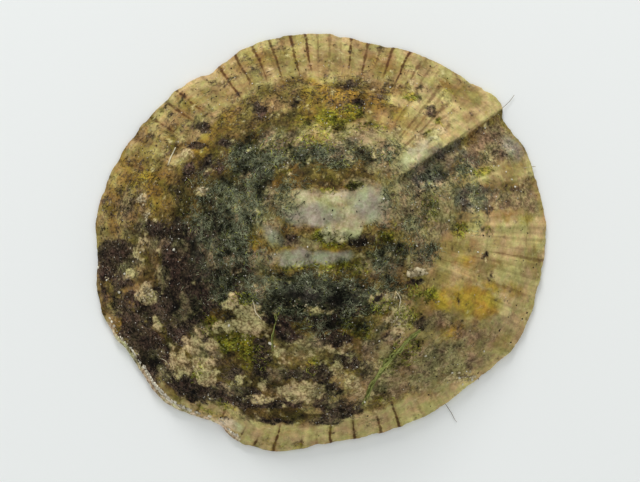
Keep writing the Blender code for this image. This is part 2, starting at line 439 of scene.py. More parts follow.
# %% Cream and tan, the newer shell of the margin
grow("cream", strongest(
    bands(
        (60, 147, 0.77, 1.1, 0.92), (44, 60, 0.68, 1.1, 0.95), (300, 338, 0.80, 1.1, 1.0),
        (13.5, 20.0, 0.62, 1.1, 0.9), (240, 300, 0.89, 1.1, 2.0), (224, 232, 0.965, 1.1, 1.2),
        (232, 241, 0.92, 1.1, 1.8),
    ),
    bands((34.4, 47, 0.45, 1.1, 1.5), softness=CRISP),
    patches(
        (180, 156, 13, 7, 30, 0.9), (430, 136, 34, 11, 33, 1.6), (408, 96, 16, 9, 0, 1.1),
        (290, 84, 34, 7, 10, 0.4), (320, 71, 16, 10, 0, 1.2), (322, 58, 16, 11, 0, 1.2),
        (106, 220, 8, 12, 0, 0.5), (150, 146, 26, 16, 45, 0.8), (116, 174, 10, 18, -15, 0.7),
        (508, 240, 42, 22, 0, 1.8), (468, 217, 12, 9, 0, 1.1), (182, 132, 12, 9, 30, 0.6),
        (198, 134, 12, 8, 30, 0.7), (342, 134, 24, 7, 0, 0.5), (150, 166, 10, 8, 0, 0.7),
        (214, 86, 16, 10, 30, 1.3), (422, 86, 14, 10, 0, 0.9), (166, 120, 13, 9, 40, 0.9),
        (412, 95, 9, 7, 0, 1.6), (134, 151, 14, 11, 45, 0.9), (212, 112, 14, 8, 35, 0.9),
        (516, 272, 30, 38, 0, 1.1), (455, 272, 18, 10, 0, 0.5), (330, 128, 46, 8, 0, 0.7),
        (408, 316, 18, 14, 0, 0.5), (436, 402, 36, 10, 30, 0.8), (490, 172, 28, 7, 5, 1.0),
        (486, 298, 24, 12, -10, 1.8), (440, 119, 14, 9, 30, 1.3), (200, 409, 18, 5, -25, 1.1),
        (448, 334, 14, 10, 0, 0.9), (385, 146, 20, 14, 0, 0.7), (230, 424, 15, 6, -25, 2.4),
    ),
))
grow("tan", strongest(
    bands((296, 360, 0.52, 1.1, 0.95), (0, 12, 0.52, 1.1, 0.9), (168, 200, 0.82, 1.1, 0.5)),
    patches(
        (455, 330, 66, 50, 30, 1.0), (455, 262, 44, 34, 0, 0.8), (420, 122, 40, 16, 35, 0.9),
        (378, 126, 34, 18, 0, 0.9), (272, 106, 22, 8, 10, 0.8), (182, 104, 22, 12, 38, 0.6),
        (382, 360, 14, 14, 0, 0.8), (335, 400, 34, 9, 0, 0.7), (310, 407, 14, 5, 0, 1.4),
        (132, 270, 14, 26, 0, 0.7), (118, 204, 22, 26, 0, 0.6), (150, 324, 6, 10, -20, 0.5),
        (300, 350, 44, 18, 0, 0.5), (110, 322, 7, 22, -25, 1.4), (490, 142, 22, 9, 30, 0.5),
        (520, 195, 18, 12, 0, 0.5), (345, 384, 30, 16, 0, 0.6),
    ),
))

# %% Ochre and amber stains
grow("ochre", patches(
    (345, 102, 46, 12, 0, 0.95), (400, 88, 16, 10, 0, 0.6), (140, 182, 30, 42, 20, 0.7),
    (150, 150, 30, 20, 40, 0.6), (474, 302, 22, 13, -20, 1.4), (448, 335, 10, 8, 0, 0.9),
    (336, 118, 24, 8, 0, 0.8), (438, 302, 10, 12, 0, 1.0), (450, 330, 12, 12, 0, 1.0),
    (285, 182, 16, 7, 10, 0.6), (254, 240, 7, 15, 0, 0.9), (276, 222, 6, 8, 0, 0.6),
    (215, 128, 26, 9, 35, 0.6), (515, 218, 18, 7, 0, 0.7), (505, 290, 22, 10, -10, 0.6),
    (182, 106, 24, 12, 38, 0.6), (264, 58, 40, 12, 15, 0.45), (114, 205, 12, 24, 0, 0.7),
    (384, 64, 24, 10, -8, 0.5), (312, 92, 12, 8, 0, 0.9), (342, 368, 12, 6, 0, 0.8),
    (118, 328, 6, 18, -25, 0.8), (130, 262, 10, 12, 0, 0.6), (452, 86, 18, 7, -28, 0.6),
    (161, 322, 4, 4, 0, 1.2),
))
grow("amber", patches(
    (473, 299, 22, 12, -20, 0.95), (441, 303, 9, 12, 0, 0.8), (448, 335, 9, 8, 0, 0.9),
    (331, 94, 20, 8, 0, 0.4), (353, 94, 12, 7, 0, 0.45), (312, 85, 13, 7, 0, 0.4),
    (331, 250, 8, 6, 0, 0.7), (199, 150, 12, 10, 30, 0.6), (492, 286, 12, 5, -30, 0.7),
    (146, 176, 12, 10, 40, 0.5), (465, 262, 8, 6, 0, 0.5), (404, 112, 10, 6, 30, 0.5),
))

# %% A thin brown film
grow("patina", strongest(
    bands((60, 147, 0.76, 0.93, 0.80)),
    patches(
        (250, 75, 40, 22, 25, 0.65), (230, 71, 13, 9, 30, 1.0), (292, 40, 14, 7, 0, 1.1),
        (422, 312, 12, 10, 0, 0.8), (534, 262, 6, 14, 0, 0.8), (374, 118, 12, 8, 0, 0.8),
        (168, 392, 10, 5, -40, 0.8), (486, 184, 16, 5, 0, 1.0), (290, 58, 26, 24, 0, 0.4),
        (380, 58, 34, 16, -10, 0.7), (340, 112, 40, 10, 0, 0.9), (462, 92, 28, 12, -30, 1.1),
        (395, 125, 14, 10, 40, 0.8), (362, 150, 12, 10, 0, 0.7), (495, 140, 14, 9, 0, 0.9),
        (512, 171, 14, 8, 0, 1.2), (500, 186, 22, 8, 0, 1.0), (462, 218, 20, 10, 0, 1.0),
        (291, 250, 14, 10, 0, 0.9), (118, 275, 18, 26, 0, 1.0), (182, 262, 12, 16, 0, 0.8),
        (150, 310, 14, 12, 0, 0.9), (332, 335, 24, 10, 0, 1.0), (342, 365, 12, 7, 0, 0.8),
        (300, 375, 18, 8, 0, 0.6), (402, 352, 12, 10, 0, 0.8), (452, 362, 36, 20, 20, 1.2),
        (310, 425, 24, 5, 0, 0.7), (484, 328, 15, 9, -20, 0.9), (245, 390, 10, 6, 0, 0.7),
        (145, 152, 14, 14, 0, 0.9), (300, 165, 14, 8, 0, 0.6), (110, 208, 10, 22, 0, 0.7),
        (273, 224, 6, 12, 0, 0.8), (437, 108, 10, 7, 40, 0.35), (470, 246, 12, 10, 0, 0.8),
        (486, 262, 12, 8, 0, 0.8), (452, 248, 12, 8, 0, 1.0), (422, 390, 22, 10, 20, 0.9),
        (502, 342, 16, 12, -20, 0.8), (438, 326, 10, 8, 0, 0.9), (440, 276, 12, 8, 0, 0.8),
        (470, 118, 10, 8, 30, 0.7), (454, 312, 10, 8, 0, 1.0), (518, 167, 12, 7, 0, 0.9),
    ),
))

# %% Green alga
grow("green", patches(
    (489, 232, 5, 7, 0, 0.5), (458, 231, 10, 8, 0, 0.9), (329, 238, 14, 10, 0, 1.5),
    (244, 298, 12, 6, 0, 1.8), (355, 184, 9, 4, 0, 1.2), (210, 324, 7, 10, -20, 1.0),
    (239, 336, 12, 7, 0, 1.4), (232, 342, 14, 7, 0, 1.8), (430, 295, 7, 7, 0, 1.1),
    (208, 322, 6, 7, 0, 1.2), (338, 237, 10, 7, 0, 1.6), (406, 350, 14, 15, 0, 0.9),
    (334, 118, 22, 7, 0, 0.9), (250, 350, 14, 16, 0, 0.9), (262, 362, 8, 14, 0, 0.7),
    (318, 126, 38, 9, 0, 0.6), (410, 98, 8, 5, 0, 1.1), (439, 122, 5, 4, 0, 1.0),
    (427, 133, 5, 3, 40, 0.8), (382, 305, 16, 10, 0, 0.9), (353, 328, 18, 10, 0, 0.8),
    (391, 363, 9, 7, 0, 0.8), (275, 443, 40, 5, -10, 0.3), (225, 405, 10, 5, -20, 0.8),
    (415, 292, 10, 12, 0, 0.7), (345, 268, 30, 8, 0, 0.7), (300, 143, 60, 12, 8, 0.6),
    (385, 398, 12, 6, 20, 0.6), (312, 370, 7, 14, 0, 0.7), (430, 210, 14, 18, 0, 0.6),
    (480, 172, 12, 5, 0, 0.8), (352, 112, 12, 7, 0, 0.7), (270, 150, 30, 14, 20, 0.5),
    (405, 318, 14, 8, 40, 0.9), (370, 128, 24, 8, 0, 0.6), (335, 264, 36, 6, 0, 0.5),
    (385, 236, 8, 10, 0, 0.9), (196, 372, 5, 12, -30, 0.9), (212, 412, 22, 5, -25, 0.5),
    (330, 190, 14, 3, 0, 0.8), (300, 268, 30, 6, 0, 0.6),
))

# %% The soot-dark film, with painted shade along the fold and under the crumbs
grow("soot_and_shade", strongest(
    patches(
        (117, 257, 17, 15, -10, 3.4), (162, 232, 18, 9, -10, 1.2), (185, 276, 15, 44, 5, 3.2),
        (214, 230, 13, 13, 0, 1.7), (318, 373, 17, 6, 0, 1.5), (212, 166, 15, 9, 30, 0.8),
        (231, 374, 10, 7, 0, 1.0), (342, 104, 12, 5, 0, 0.45), (134, 328, 11, 13, -40, 1.9),
        (470, 199, 12, 8, 0, 1.1), (424, 180, 14, 9, 30, 1.1), (140, 338, 24, 13, -50, 1.1),
        (150, 352, 26, 13, -52, 2.4), (190, 386, 32, 9, -22, 1.65), (258, 402, 42, 4, -5, 1.5),
        (222, 392, 30, 7, -18, 1.4), (342, 410, 20, 8, 5, 1.1), (326, 389, 13, 7, 0, 1.9),
        (331, 341, 17, 7, 0, 1.8), (349, 356, 10, 4, 0, 1.3), (324, 374, 10, 6, 0, 1.1),
        (225, 144, 7, 5, 0, 1.1), (198, 147, 9, 4, 0, 1.0), (190, 172, 10, 8, 0, 0.8),
        (206, 127, 7, 5, 0, 1.0), (260, 111, 6, 9, 0, 1.0), (297, 99, 10, 7, 0, 0.35),
        (286, 90, 14, 3, 0, 0.3), (350, 84, 9, 5, 0, 0.9), (360, 106, 9, 7, 0, 0.7),
        (386, 94, 8, 7, 0, 0.9), (430, 111, 6, 6, 30, 0.8), (484, 208, 20, 5, 5, 0.6),
        (360, 241, 14, 7, 15, 0.95), (184, 200, 10, 20, 0, 0.2), (262, 344, 9, 7, 0, 1.4),
        (108, 270, 12, 14, 0, 1.0), (160, 302, 6, 15, 0, 1.3), (288, 338, 10, 7, 0, 1.0),
        (195, 330, 8, 12, -40, 0.4), (261, 371, 9, 7, 0, 1.2), (412, 320, 14, 5, 20, 0.5),
        # Painted shadow: the patch at 417 across, 281 down darkens the shell just below the crumbs heaped
        # there.
        (417, 281, 9, 3, 5, 1.2), (283, 325, 6, 14, 0, 1.2), (322, 300, 56, 12, 0, 1.9),
        (326, 326, 15, 8, 0, 1.4), (372, 346, 8, 8, 0, 0.8), (367, 368, 8, 10, 0, 0.6),
        (128, 310, 14, 12, -30, 0.9), (485, 255, 6, 3, 0, 0.7), (243, 262, 12, 24, 0, 1.2),
        (229, 317, 6, 4, 0, 0.8), (272, 312, 8, 11, 0, 1.8), (246, 392, 14, 6, -12, 1.6),
        (150, 308, 13, 14, 0, 1.7), (206, 340, 4, 5, 0, 1.0), (218, 354, 5, 5, 0, 0.8),
        (326, 405, 14, 5, 0, 1.3), (198, 310, 10, 9, 0, 2.0), (500, 150, 12, 8, 30, 0.8),
        (440, 362, 30, 22, 20, 0.25), (419, 323, 8, 6, 0, 1.1), (508, 194, 20, 9, 0, 0.4),
        (262, 358, 9, 8, 0, 1.2), (134, 297, 10, 8, 0, 0.9), (388, 281, 10, 8, 0, 0.6),
        (290, 241, 12, 8, 0, 0.8), (312, 302, 46, 15, 0, 1.9), (374, 294, 10, 7, 0, 1.0),
        (350, 299, 30, 9, 0, 1.8), (158, 315, 12, 10, -30, 1.4), (177, 333, 12, 9, -40, 1.2),
        (168, 306, 10, 12, 0, 2.3), (310, 183, 16, 5, 0, 0.5), (122, 282, 10, 9, 0, 0.9),
        (348, 362, 14, 6, 0, 1.0), (298, 374, 17, 5, 0, 1.2), (325, 421, 14, 4, 0, 1.1),
        (278, 421, 18, 3, 0, 0.9), (225, 420, 4, 3, 0, 1.0), (200, 272, 18, 34, 0, 2.0),
        (228, 286, 14, 18, 0, 1.2), (212, 300, 12, 10, 0, 1.0), (395, 336, 10, 4, 20, 0.8),
    ),
    # Painted shade: these two bands darken the flank just clockwise of the fold, the shadow below its step.
    bands((30.5, 34.4, 0.42, 0.72, 0.6), (31.5, 34.4, 0.70, 0.98, 0.5), softness=0.6 * MM),
    bands((100, 152, 0.74, 1.0, 0.16), (152, 200, 0.80, 1.0, 0.26), (40, 100, 0.74, 0.84, 0.22)),
))

# %% Grey dust, off the rim and off the thickest soot
DUST_THINS_FROM, DUST_LOST_AT_RIM = 0.93, 0.7
SOOT_TAKES_DUST = 0.7, 1.5  # the amounts of soot from which dust is less, and none
off_rim = 1.0 - DUST_LOST_AT_RIM * smoothstep(DUST_THINS_FROM, 1.0, outside_place)
off_soot = 1.0 - smoothstep(*SOOT_TAKES_DUST, growths["soot_and_shade"])
grow("dusty", patches(
    (492, 143, 30, 15, 35, 1.5), (514, 150, 14, 12, -50, 1.1), (520, 199, 26, 9, 5, 1.3),
    (492, 196, 18, 7, 5, 0.9), (455, 350, 44, 22, 25, 0.75), (478, 336, 30, 18, 30, 0.55),
    (440, 322, 20, 10, 0, 0.9), (132, 266, 12, 12, 0, 0.7), (157, 246, 12, 8, 0, 0.8),
    (108, 240, 10, 10, 0, 0.5), (400, 160, 14, 10, 40, 0.5), (534, 204, 8, 18, 0, 1.0),
    (484, 362, 26, 12, 35, 0.5), (430, 378, 26, 10, 20, 0.6), (450, 158, 18, 6, 35, 0.5),
    (528, 180, 6, 12, 0, 0.5), (255, 196, 16, 14, 40, 0.7), (400, 196, 10, 22, 0, 0.3),
) * off_rim * off_soot)

# %% Felt, and the blue-grey film beside the fold
grow("felt", patches(
    (218, 246, 28, 54, 10, 0.85), (258, 160, 32, 20, 25, 0.9), (330, 153, 62, 11, 0, 0.8),
    (312, 296, 74, 20, -3, 1.1), (362, 300, 44, 14, 10, 0.8), (406, 212, 28, 40, 0, 0.38),
    (434, 178, 20, 14, 10, 0.7), (236, 204, 32, 28, 0, 0.9), (390, 258, 22, 18, 0, 0.6),
    (464, 168, 26, 10, 25, 0.6), (275, 200, 30, 30, 0, 0.4), (466, 224, 18, 12, 0, 0.2),
    (260, 262, 18, 18, 0, 0.3), (345, 325, 40, 12, 0, 0.5), (470, 192, 26, 18, 0, 0.3),
    (190, 306, 14, 12, 0, 0.7), (424, 250, 16, 14, 0, 0.55), (386, 280, 9, 7, 0, 0.7),
    (393, 149, 12, 7, 0, 0.5), (390, 198, 10, 13, 0, 0.55),
))
grow("blue_grey", strongest(
    bands((24, 34.4, 0.36, 0.72, 0.9)),
    patches(
        (404, 164, 11, 9, 0, 0.9), (470, 199, 18, 12, 5, 1.5), (432, 166, 26, 14, 38, 1.4),
        (424, 184, 12, 12, 0, 0.6), (454, 152, 14, 6, 35, 0.4), (262, 172, 14, 8, 0, 0.7),
        (345, 147, 14, 8, 0, 0.8), (315, 292, 44, 11, 0, 0.8), (205, 250, 14, 30, 0, 0.5),
        (350, 300, 24, 8, 0, 0.6),
    ),
))

# %% Pale silt
grow("silt", patches(
    (350, 144, 62, 15, 0, 0.65), (400, 186, 22, 44, 0, 0.75), (282, 150, 34, 14, 20, 0.7),
    (250, 168, 12, 9, 0, 0.6), (424, 216, 26, 24, 0, 1.7), (422, 262, 13, 11, 0, 1.2),
    (438, 200, 14, 10, 0, 1.7), (250, 206, 20, 14, 0, 0.6), (184, 312, 9, 8, 0, 1.1),
    (182, 247, 10, 8, 0, 1.0), (310, 247, 14, 8, 0, 0.7), (285, 137, 22, 7, 5, 0.9),
    (345, 138, 30, 8, 0, 0.9), (344, 151, 22, 7, 0, 0.9), (262, 198, 17, 10, 0, 1.0),
    (262, 220, 14, 16, 0, 1.0), (134, 212, 16, 28, 0, 0.6), (185, 305, 10, 12, 0, 0.45),
    (164, 278, 7, 12, 0, 0.9), (230, 262, 10, 12, 0, 0.9), (230, 214, 10, 10, 0, 0.8),
    (310, 342, 14, 8, 0, 1.0), (345, 262, 12, 6, 0, 0.35), (166, 374, 8, 8, 0, 0.8),
    (230, 390, 14, 6, -15, 0.8), (310, 150, 16, 8, 0, 0.7), (278, 374, 12, 8, 0, 0.9),
    (201, 330, 9, 8, 0, 1.2), (154, 355, 9, 7, 0, 0.8), (374, 166, 12, 8, 0, 0.8),
    (200, 246, 10, 10, 0, 0.7), (300, 205, 34, 14, 0, 0.8), (388, 262, 16, 22, 0, 0.7),
    (372, 268, 26, 10, 0, 0.6), (440, 192, 18, 12, 0, 0.9), (446, 159, 11, 6, 35, 0.7),
    (270, 146, 12, 20, 0, 0.8), (378, 140, 26, 14, 0, 0.8), (470, 194, 18, 8, 0, 0.6),
    (345, 285, 40, 10, 0, 0.4), (385, 370, 24, 34, 10, 0.9), (400, 345, 20, 16, 0, 0.8),
    (430, 365, 40, 22, 20, 0.8), (358, 182, 12, 6, 0, 1.0), (262, 262, 12, 10, 0, 1.0),
    (218, 255, 14, 26, 0, 0.5), (330, 372, 40, 16, 0, 0.35), (285, 395, 50, 14, 0, 0.3),
    (205, 350, 26, 26, -30, 0.5), (310, 348, 34, 10, 0, 0.2), (132, 266, 14, 14, 0, 0.5),
    (150, 320, 12, 20, 0, 0.35), (262, 290, 20, 14, 0, 0.6), (345, 398, 34, 8, 0, 0.7),
))

# %% Lime crust, and the chalky break along the rim
grow("lime", patches(
    (178, 362, 9, 16, 15, 0.95), (205, 370, 8, 14, 30, 1.6), (192, 345, 10, 8, 30, 1.4),
    (211, 345, 6, 5, 0, 1.2), (250, 319, 15, 13, -45, 1.6), (233, 327, 9, 6, 0, 1.7),
    (229, 300, 6, 7, 0, 1.5), (283, 353, 10, 7, 0, 0.55), (236, 379, 7, 4, 0, 0.8),
    (260, 398, 11, 4, -8, 1.3), (262, 383, 6, 4, 0, 1.0), (147, 292, 9, 9, 0, 1.5),
    (302, 392, 20, 9, 5, 1.7), (302, 350, 22, 9, 10, 0.5), (337, 370, 7, 6, -30, 1.3),
    (352, 384, 10, 7, -30, 1.1), (338, 351, 15, 5, 0, 0.7), (398, 320, 13, 10, 35, 1.2),
    (183, 155, 8, 5, 20, 0.9), (202, 190, 7, 4, 0, 1.0), (143, 200, 5, 6, 0, 1.0),
    (149, 216, 4, 4, 0, 1.0), (318, 312, 14, 4, 0, 0.7), (308, 400, 8, 3, 0, 1.1),
    (156, 323, 5, 9, 0, 1.0), (384, 300, 16, 8, 0, 1.0), (455, 378, 10, 6, 30, 0.8),
    (140, 252, 6, 11, 0, 0.8), (128, 272, 7, 7, 0, 0.7), (217, 328, 8, 5, 40, 0.9),
    (203, 332, 5, 4, 0, 0.7), (362, 392, 12, 5, -10, 0.8), (430, 137, 26, 8, 35, 0.75),
    (385, 152, 14, 8, 20, 0.35),
))
grow("chalk", bands(
    (217, 233, 0.976, 1.1, 0.9), (233, 247, 0.985, 1.1, 0.9), (203, 217, 0.984, 1.1, 0.9),
    softness=CRISP,
))

# %% The worn summit
grow("worn", patches(
    (340, 196, 18, 6, 0, 1.1), (318, 213, 26, 9, 0, 1.0), (342, 228, 16, 11, 20, 2.6),
    (367, 203, 16, 14, 0, 1.2), (358, 213, 15, 10, 0, 1.3), (296, 264, 12, 5, -5, 0.5),
    (325, 257, 20, 4, 0, 0.35), (270, 233, 10, 5, -40, 0.3), (420, 152, 20, 6, 35, 0.8),
    (308, 201, 16, 8, -10, 1.0), (374, 212, 13, 10, 0, 0.9), (330, 205, 40, 13, 0, 0.65),
    (230, 425, 13, 4, -25, 1.1),
))
grow("bluish", patches(
    (370, 204, 17, 14, 0, 1.0), (314, 215, 26, 9, 0, 1.2), (294, 260, 19, 8, -5, 1.4),
    (331, 259, 17, 6, 5, 1.2), (271, 235, 12, 6, -45, 0.75), (514, 148, 14, 10, -50, 0.7),
))

# %% [markdown]
# ## The brown rays
#
# Thin red-brown rays run from the rim towards the summit, where the mantle's edge laid down pigment as it
# grew. They are only colour, so they are stored and not raised: for each point, how far it is from the
# nearest ray and how strong that ray is there. The material turns the distance into a line, so a ray
# stays sharp between points.

# %% Rays, as (bearing, from place, to place, strength)
RAYS = (
    (97.5, 0.80, 1.0, 1.0), (102.0, 0.78, 1.0, 1.0), (108.6, 0.76, 1.0, 0.9), (113.5, 0.80, 1.0, 0.9),
    (119.3, 0.82, 1.0, 0.9), (125.1, 0.78, 1.0, 1.0), (138.5, 0.80, 1.0, 1.0), (143.0, 0.82, 1.0, 0.9),
    (149.0, 0.83, 1.0, 0.9), (90.4, 0.84, 0.98, 0.4), (83.4, 0.82, 1.0, 1.0), (78.6, 0.80, 1.0, 0.9),
    (70.8, 0.82, 1.0, 0.9), (65.8, 0.80, 1.0, 1.0), (61.0, 0.84, 0.95, 0.6), (350.6, 0.74, 0.99, 0.5),
    (340.6, 0.72, 0.93, 0.35), (343.0, 0.52, 0.72, 0.35), (234.0, 0.93, 1.0, 0.9),
    (240.4, 0.92, 1.0, 0.7), (246.8, 0.93, 1.0, 1.0), (251.1, 0.95, 1.0, 1.0), (255.6, 0.87, 1.0, 1.0),
    (262.1, 0.94, 1.0, 0.9), (270.0, 0.90, 1.0, 1.0), (276.3, 0.90, 1.0, 1.0), (283.5, 0.90, 1.0, 0.9),
    (289.1, 0.82, 1.0, 1.0), (163.0, 0.82, 1.0, 0.6), (155.5, 0.84, 1.0, 0.5), (356.0, 0.78, 0.98, 0.2),
    (4.0, 0.76, 0.98, 0.2), (345.5, 0.76, 0.97, 0.25), (335.5, 0.78, 0.95, 0.2), (54.0, 0.66, 0.9, 0.3),
    (49.5, 0.60, 0.85, 0.4), (131.0, 0.84, 1.0, 0.3), (296.0, 0.90, 1.0, 0.3), (266.3, 0.93, 1.0, 0.35),
    (86.8, 0.84, 1.0, 0.3), (40.5, 0.50, 0.72, 0.5), (43.5, 0.52, 0.80, 0.5), (46.5, 0.48, 0.82, 0.6),
    (52.0, 0.50, 0.88, 0.6), (57.5, 0.58, 0.95, 0.5), (74.6, 0.86, 1.0, 0.5), (94.0, 0.86, 1.0, 0.5),
    (105.2, 0.86, 1.0, 0.4), (8.5, 0.70, 0.98, 0.2), (353.2, 0.70, 0.95, 0.25), (347.8, 0.64, 0.90, 0.25),
    (326.0, 0.88, 1.0, 0.2), (317.0, 0.90, 1.0, 0.2),
)
RAY_WOBBLE = 0.7  # degrees
WOBBLE_ALONG, WOBBLE_ROUND = 0.12, 8.0  # the size of the wobble's noise, along the spoke and in degrees
RAY_TIP = 0.55  # how wide a ray is at its inner end, as a share of its width at the rim
RAY_FADE, RAY_OVERRUN = 0.03, 0.02
FAR_FROM_RAYS = 1.5 * MM


def ray_fields():
    """For each point of the outside: the distance to the nearest ray, and that ray's strength there.

    A ray thins out inwards, so the distance is stretched there.
    """
    gap = np.full(len(form), FAR_FROM_RAYS)
    strength = np.zeros(len(form))
    where = np.stack(
        [outside_place / WOBBLE_ALONG, outside_bearing / WOBBLE_ROUND, np.zeros_like(outside_place)], axis=1
    )
    wobble = RAY_WOBBLE * noise_at(where)
    reach = rim_distance(outside_bearing) * outside_place
    for ray, inner, outer, weight in RAYS:
        turn = (outside_bearing + wobble - ray + 180.0) % 360.0 - 180.0
        width = RAY_TIP + (1.0 - RAY_TIP) * smoothstep(inner, outer, outside_place)
        aside = np.abs(np.radians(turn)) * reach / width
        closer = aside < gap
        gap = np.where(closer, aside, gap)
        here = weight * smoothstep(inner - RAY_FADE, inner + RAY_FADE, outside_place)
        strength = np.where(closer, here * (outside_place < outer + RAY_OVERRUN), strength)
    return gap, strength


ray_gap, ray_strength = ray_fields()
print(len(RAYS), "rays")

# %% [markdown]
# ## The finest relief
#
# Riblets less than a millimetre apart run down the flank, and double in number as it widens. Growth lines
# cross them. Felt and soot give a grainy skin, lime crust stands proud with a ragged edge, and the worn
# summit is smooth but dented. All of it is real height on the fine mesh, so it also shows from the side.

# %% Riblets and growth lines
COARSE_RIBLETS, COARSE_FROM, COARSE_SHARE = 104, 0.30, 0.6
FINE_RIBLETS, FINE_FROM = 208, 0.55
RIBLET_RISE = 0.12  # how much of the spoke a riblet takes to reach its full height
RIBLET_LIKENESS, RIBLET_CHANGES = 12.0, 3.0  # how alike neighbours are, and how often one changes
MEAN_RIBLET = 0.75
# Noise for the growth lines: how often it changes in a turn and along the spoke, and its share.
GROWTH_RINGS = ((1.6, 34.0, 1.0), (2.4, 72.0, 0.6))


def riblets(count, from_place):
    """Rounded ridges along the spokes, some stronger than others, which start part of the way down."""
    phase = 2.0 * math.pi * count * outside_bearing / 360.0
    ridge = np.abs(np.cos(phase / 2.0))
    lively = headings(outside_bearing) * count / RIBLET_LIKENESS
    lively[:, 2] = outside_place * RIBLET_CHANGES
    strength = MEAN_RIBLET + noise_at(lively)
    return ridge * strength * smoothstep(from_place, from_place + RIBLET_RISE, outside_place)


def growth_lines():
    """Fine rings, uneven in spacing and in strength."""
    rings = np.zeros(len(outside_place))
    for in_a_turn, along, share in GROWTH_RINGS:
        where = headings(outside_bearing) * in_a_turn
        where[:, 2] = outside_place * along
        rings += share * noise_at(where)
    return rings


ribbing = COARSE_SHARE * riblets(COARSE_RIBLETS, COARSE_FROM) + riblets(FINE_RIBLETS, FINE_FROM)
rings = growth_lines()
print("riblets up to", ribbing.max().round(2), "and growth lines up to", rings.max().round(2))

# %% Grain, lumps and crust
RIBLET_RELIEF, GROWTH_LINE_RELIEF = 0.045 * MM, 0.040 * MM
GRAIN_SIZE, GRAIN_RELIEF = 0.26 * MM, 0.055 * MM
LUMP_SIZE, LUMP_RELIEF = 0.75 * MM, 0.07 * MM
CRUST_RELIEF, CRUST_EDGE_SIZE, CRUST_RAGGEDNESS = 0.05 * MM, 0.40 * MM, 0.80
CRUST_EDGE = 0.40, 0.75  # the amounts of lime between which the crust rises
THICK_SOOT = 0.9, 1.8  # the amounts of soot between which it buries what else grows
MARGIN_EDGE = 0.45, 0.75  # the places between which the margin starts
RIM_EASES_FROM, RIM_EASING = 0.985, 0.75

crusty = np.clip(growths["felt"] + growths["soot_and_shade"] + 0.5 * growths["green"], 0.0, 1.0)
worn = np.clip(growths["worn"], 0.0, 1.0)
buried = smoothstep(*THICK_SOOT, growths["soot_and_shade"])
near_crust = 0.75 + 0.25 * np.clip(2.0 * growths["lime"], 0.0, 1.0)
near_crust -= 0.5 * buried
growths["lime"] = growths["lime"] + CRUST_RAGGEDNESS * near_crust * deep_noise_at(form / CRUST_EDGE_SIZE, 4)
crust = smoothstep(*CRUST_EDGE, growths["lime"])
margin = smoothstep(*MARGIN_EDGE, outside_place)
grain = deep_noise_at(form / GRAIN_SIZE, 3)
lumps = noise_at(form / LUMP_SIZE)

# What lies on the shell, and what has been worn off it, hides part of the relief below.
relief = RIBLET_RELIEF * ribbing * (1.0 - 0.7 * crusty)
relief += GROWTH_LINE_RELIEF * rings * (margin * (1.0 - 0.6 * crusty) + (1.0 - margin) * (1.0 - 0.6 * worn))
relief += GRAIN_RELIEF * grain * (0.35 + 0.65 * crusty) * (1.0 - 0.8 * worn)
relief += LUMP_RELIEF * lumps * (0.25 + 0.75 * crusty) * (1.0 - 0.7 * worn)
relief += CRUST_RELIEF * crust
relief *= 1.0 - RIM_EASING * smoothstep(RIM_EASES_FROM, 1.0, outside_place)
print("fine relief from", round(relief.min() / MM, 3), "to", round(relief.max() / MM, 3), "mm")

# %% [markdown]
# The rim of an old shell is never whole: it is nicked between the ribs and thin enough to chip. The nicks
# move the rim inwards, on the outside, the edge and the foot alike, so the edge stays closed.

# %% Nicks in the rim
NICK_DEPTH, NICK_SIZE = 0.16 * MM, 0.9 * MM
FINE_NICK_DEPTH, FINE_NICK_SIZE = 0.06 * MM, 0.28 * MM
NICKED_FROM = 0.955


def nicks(place, bearing):
    """How far the rim is worn back here, fading inwards."""
    around = headings(bearing) * rim_distance(bearing)[:, None]
    depth = NICK_DEPTH * np.clip(noise_at(around / NICK_SIZE), 0.0, 1.0)
    depth += FINE_NICK_DEPTH * np.abs(noise_at(around / FINE_NICK_SIZE))
    return depth * smoothstep(NICKED_FROM, 1.0, place)


all_round = np.arange(360.0)
print("nicks up to", (nicks(np.ones_like(all_round), all_round).max() / MM).round(2), "mm deep")

# %% The finished points of the shell
SCAR_PLACE, SCAR_WIDTH, SCAR_RELIEF = 0.56, 0.035, 0.05 * MM
SCAR_GAP_BEARING, SCAR_GAP, SCAR_GAP_SOFTNESS = 5.0, 32.0, 12.0


def scar_share(place, bearing):
    """The horseshoe print of the foot's muscle: 1 on it, 0 off it and in its gap over the head."""
    ring = np.exp(-((place - SCAR_PLACE) / SCAR_WIDTH) ** 2)
    from_gap = np.abs((bearing - SCAR_GAP_BEARING + 180.0) % 360.0 - 180.0)
    return ring * smoothstep(SCAR_GAP, SCAR_GAP + SCAR_GAP_SOFTNESS, from_gap)


def place_edge(bearing, edge_level):
    """The rim's edge: a rounded face between the outside and the foot."""
    at_foot = edge_level == EDGE_FOOT
    rim = spoke_reach(np.ones_like(bearing), bearing)
    reach = np.where(at_foot, rim - EDGE_BEVEL, rim + EDGE_SWELL) - nicks(np.ones_like(bearing), bearing)
    points = headings(bearing) * reach[:, None]
    points[:, 2] = np.where(at_foot, 0.0, EDGE_THICKNESS / 2.0)
    return points


points = np.zeros_like(blank)
points[is_outside] = form[is_outside[~is_hollow]]
points[is_outside, 2] += relief[is_outside[~is_hollow]]
points[is_outside] -= headings(bearing[is_outside]) * nicks(place[is_outside], bearing[is_outside])[:, None]
points[is_edge] = place_edge(bearing[is_edge], level[is_edge])
hollow_place, hollow_bearing = place[is_hollow] * CONTACT_BAND, bearing[is_hollow]
points[is_hollow] = hollow_form(hollow_place, hollow_bearing)
points[is_hollow, 2] -= SCAR_RELIEF * scar_share(hollow_place, hollow_bearing)
points += SUMMIT
shell_data.vertices.foreach_set("co", points.ravel())
shell_data.update()
print("shell from", (points.min(axis=0) / MM).round(2), "to", (points.max(axis=0) / MM).round(2), "mm")

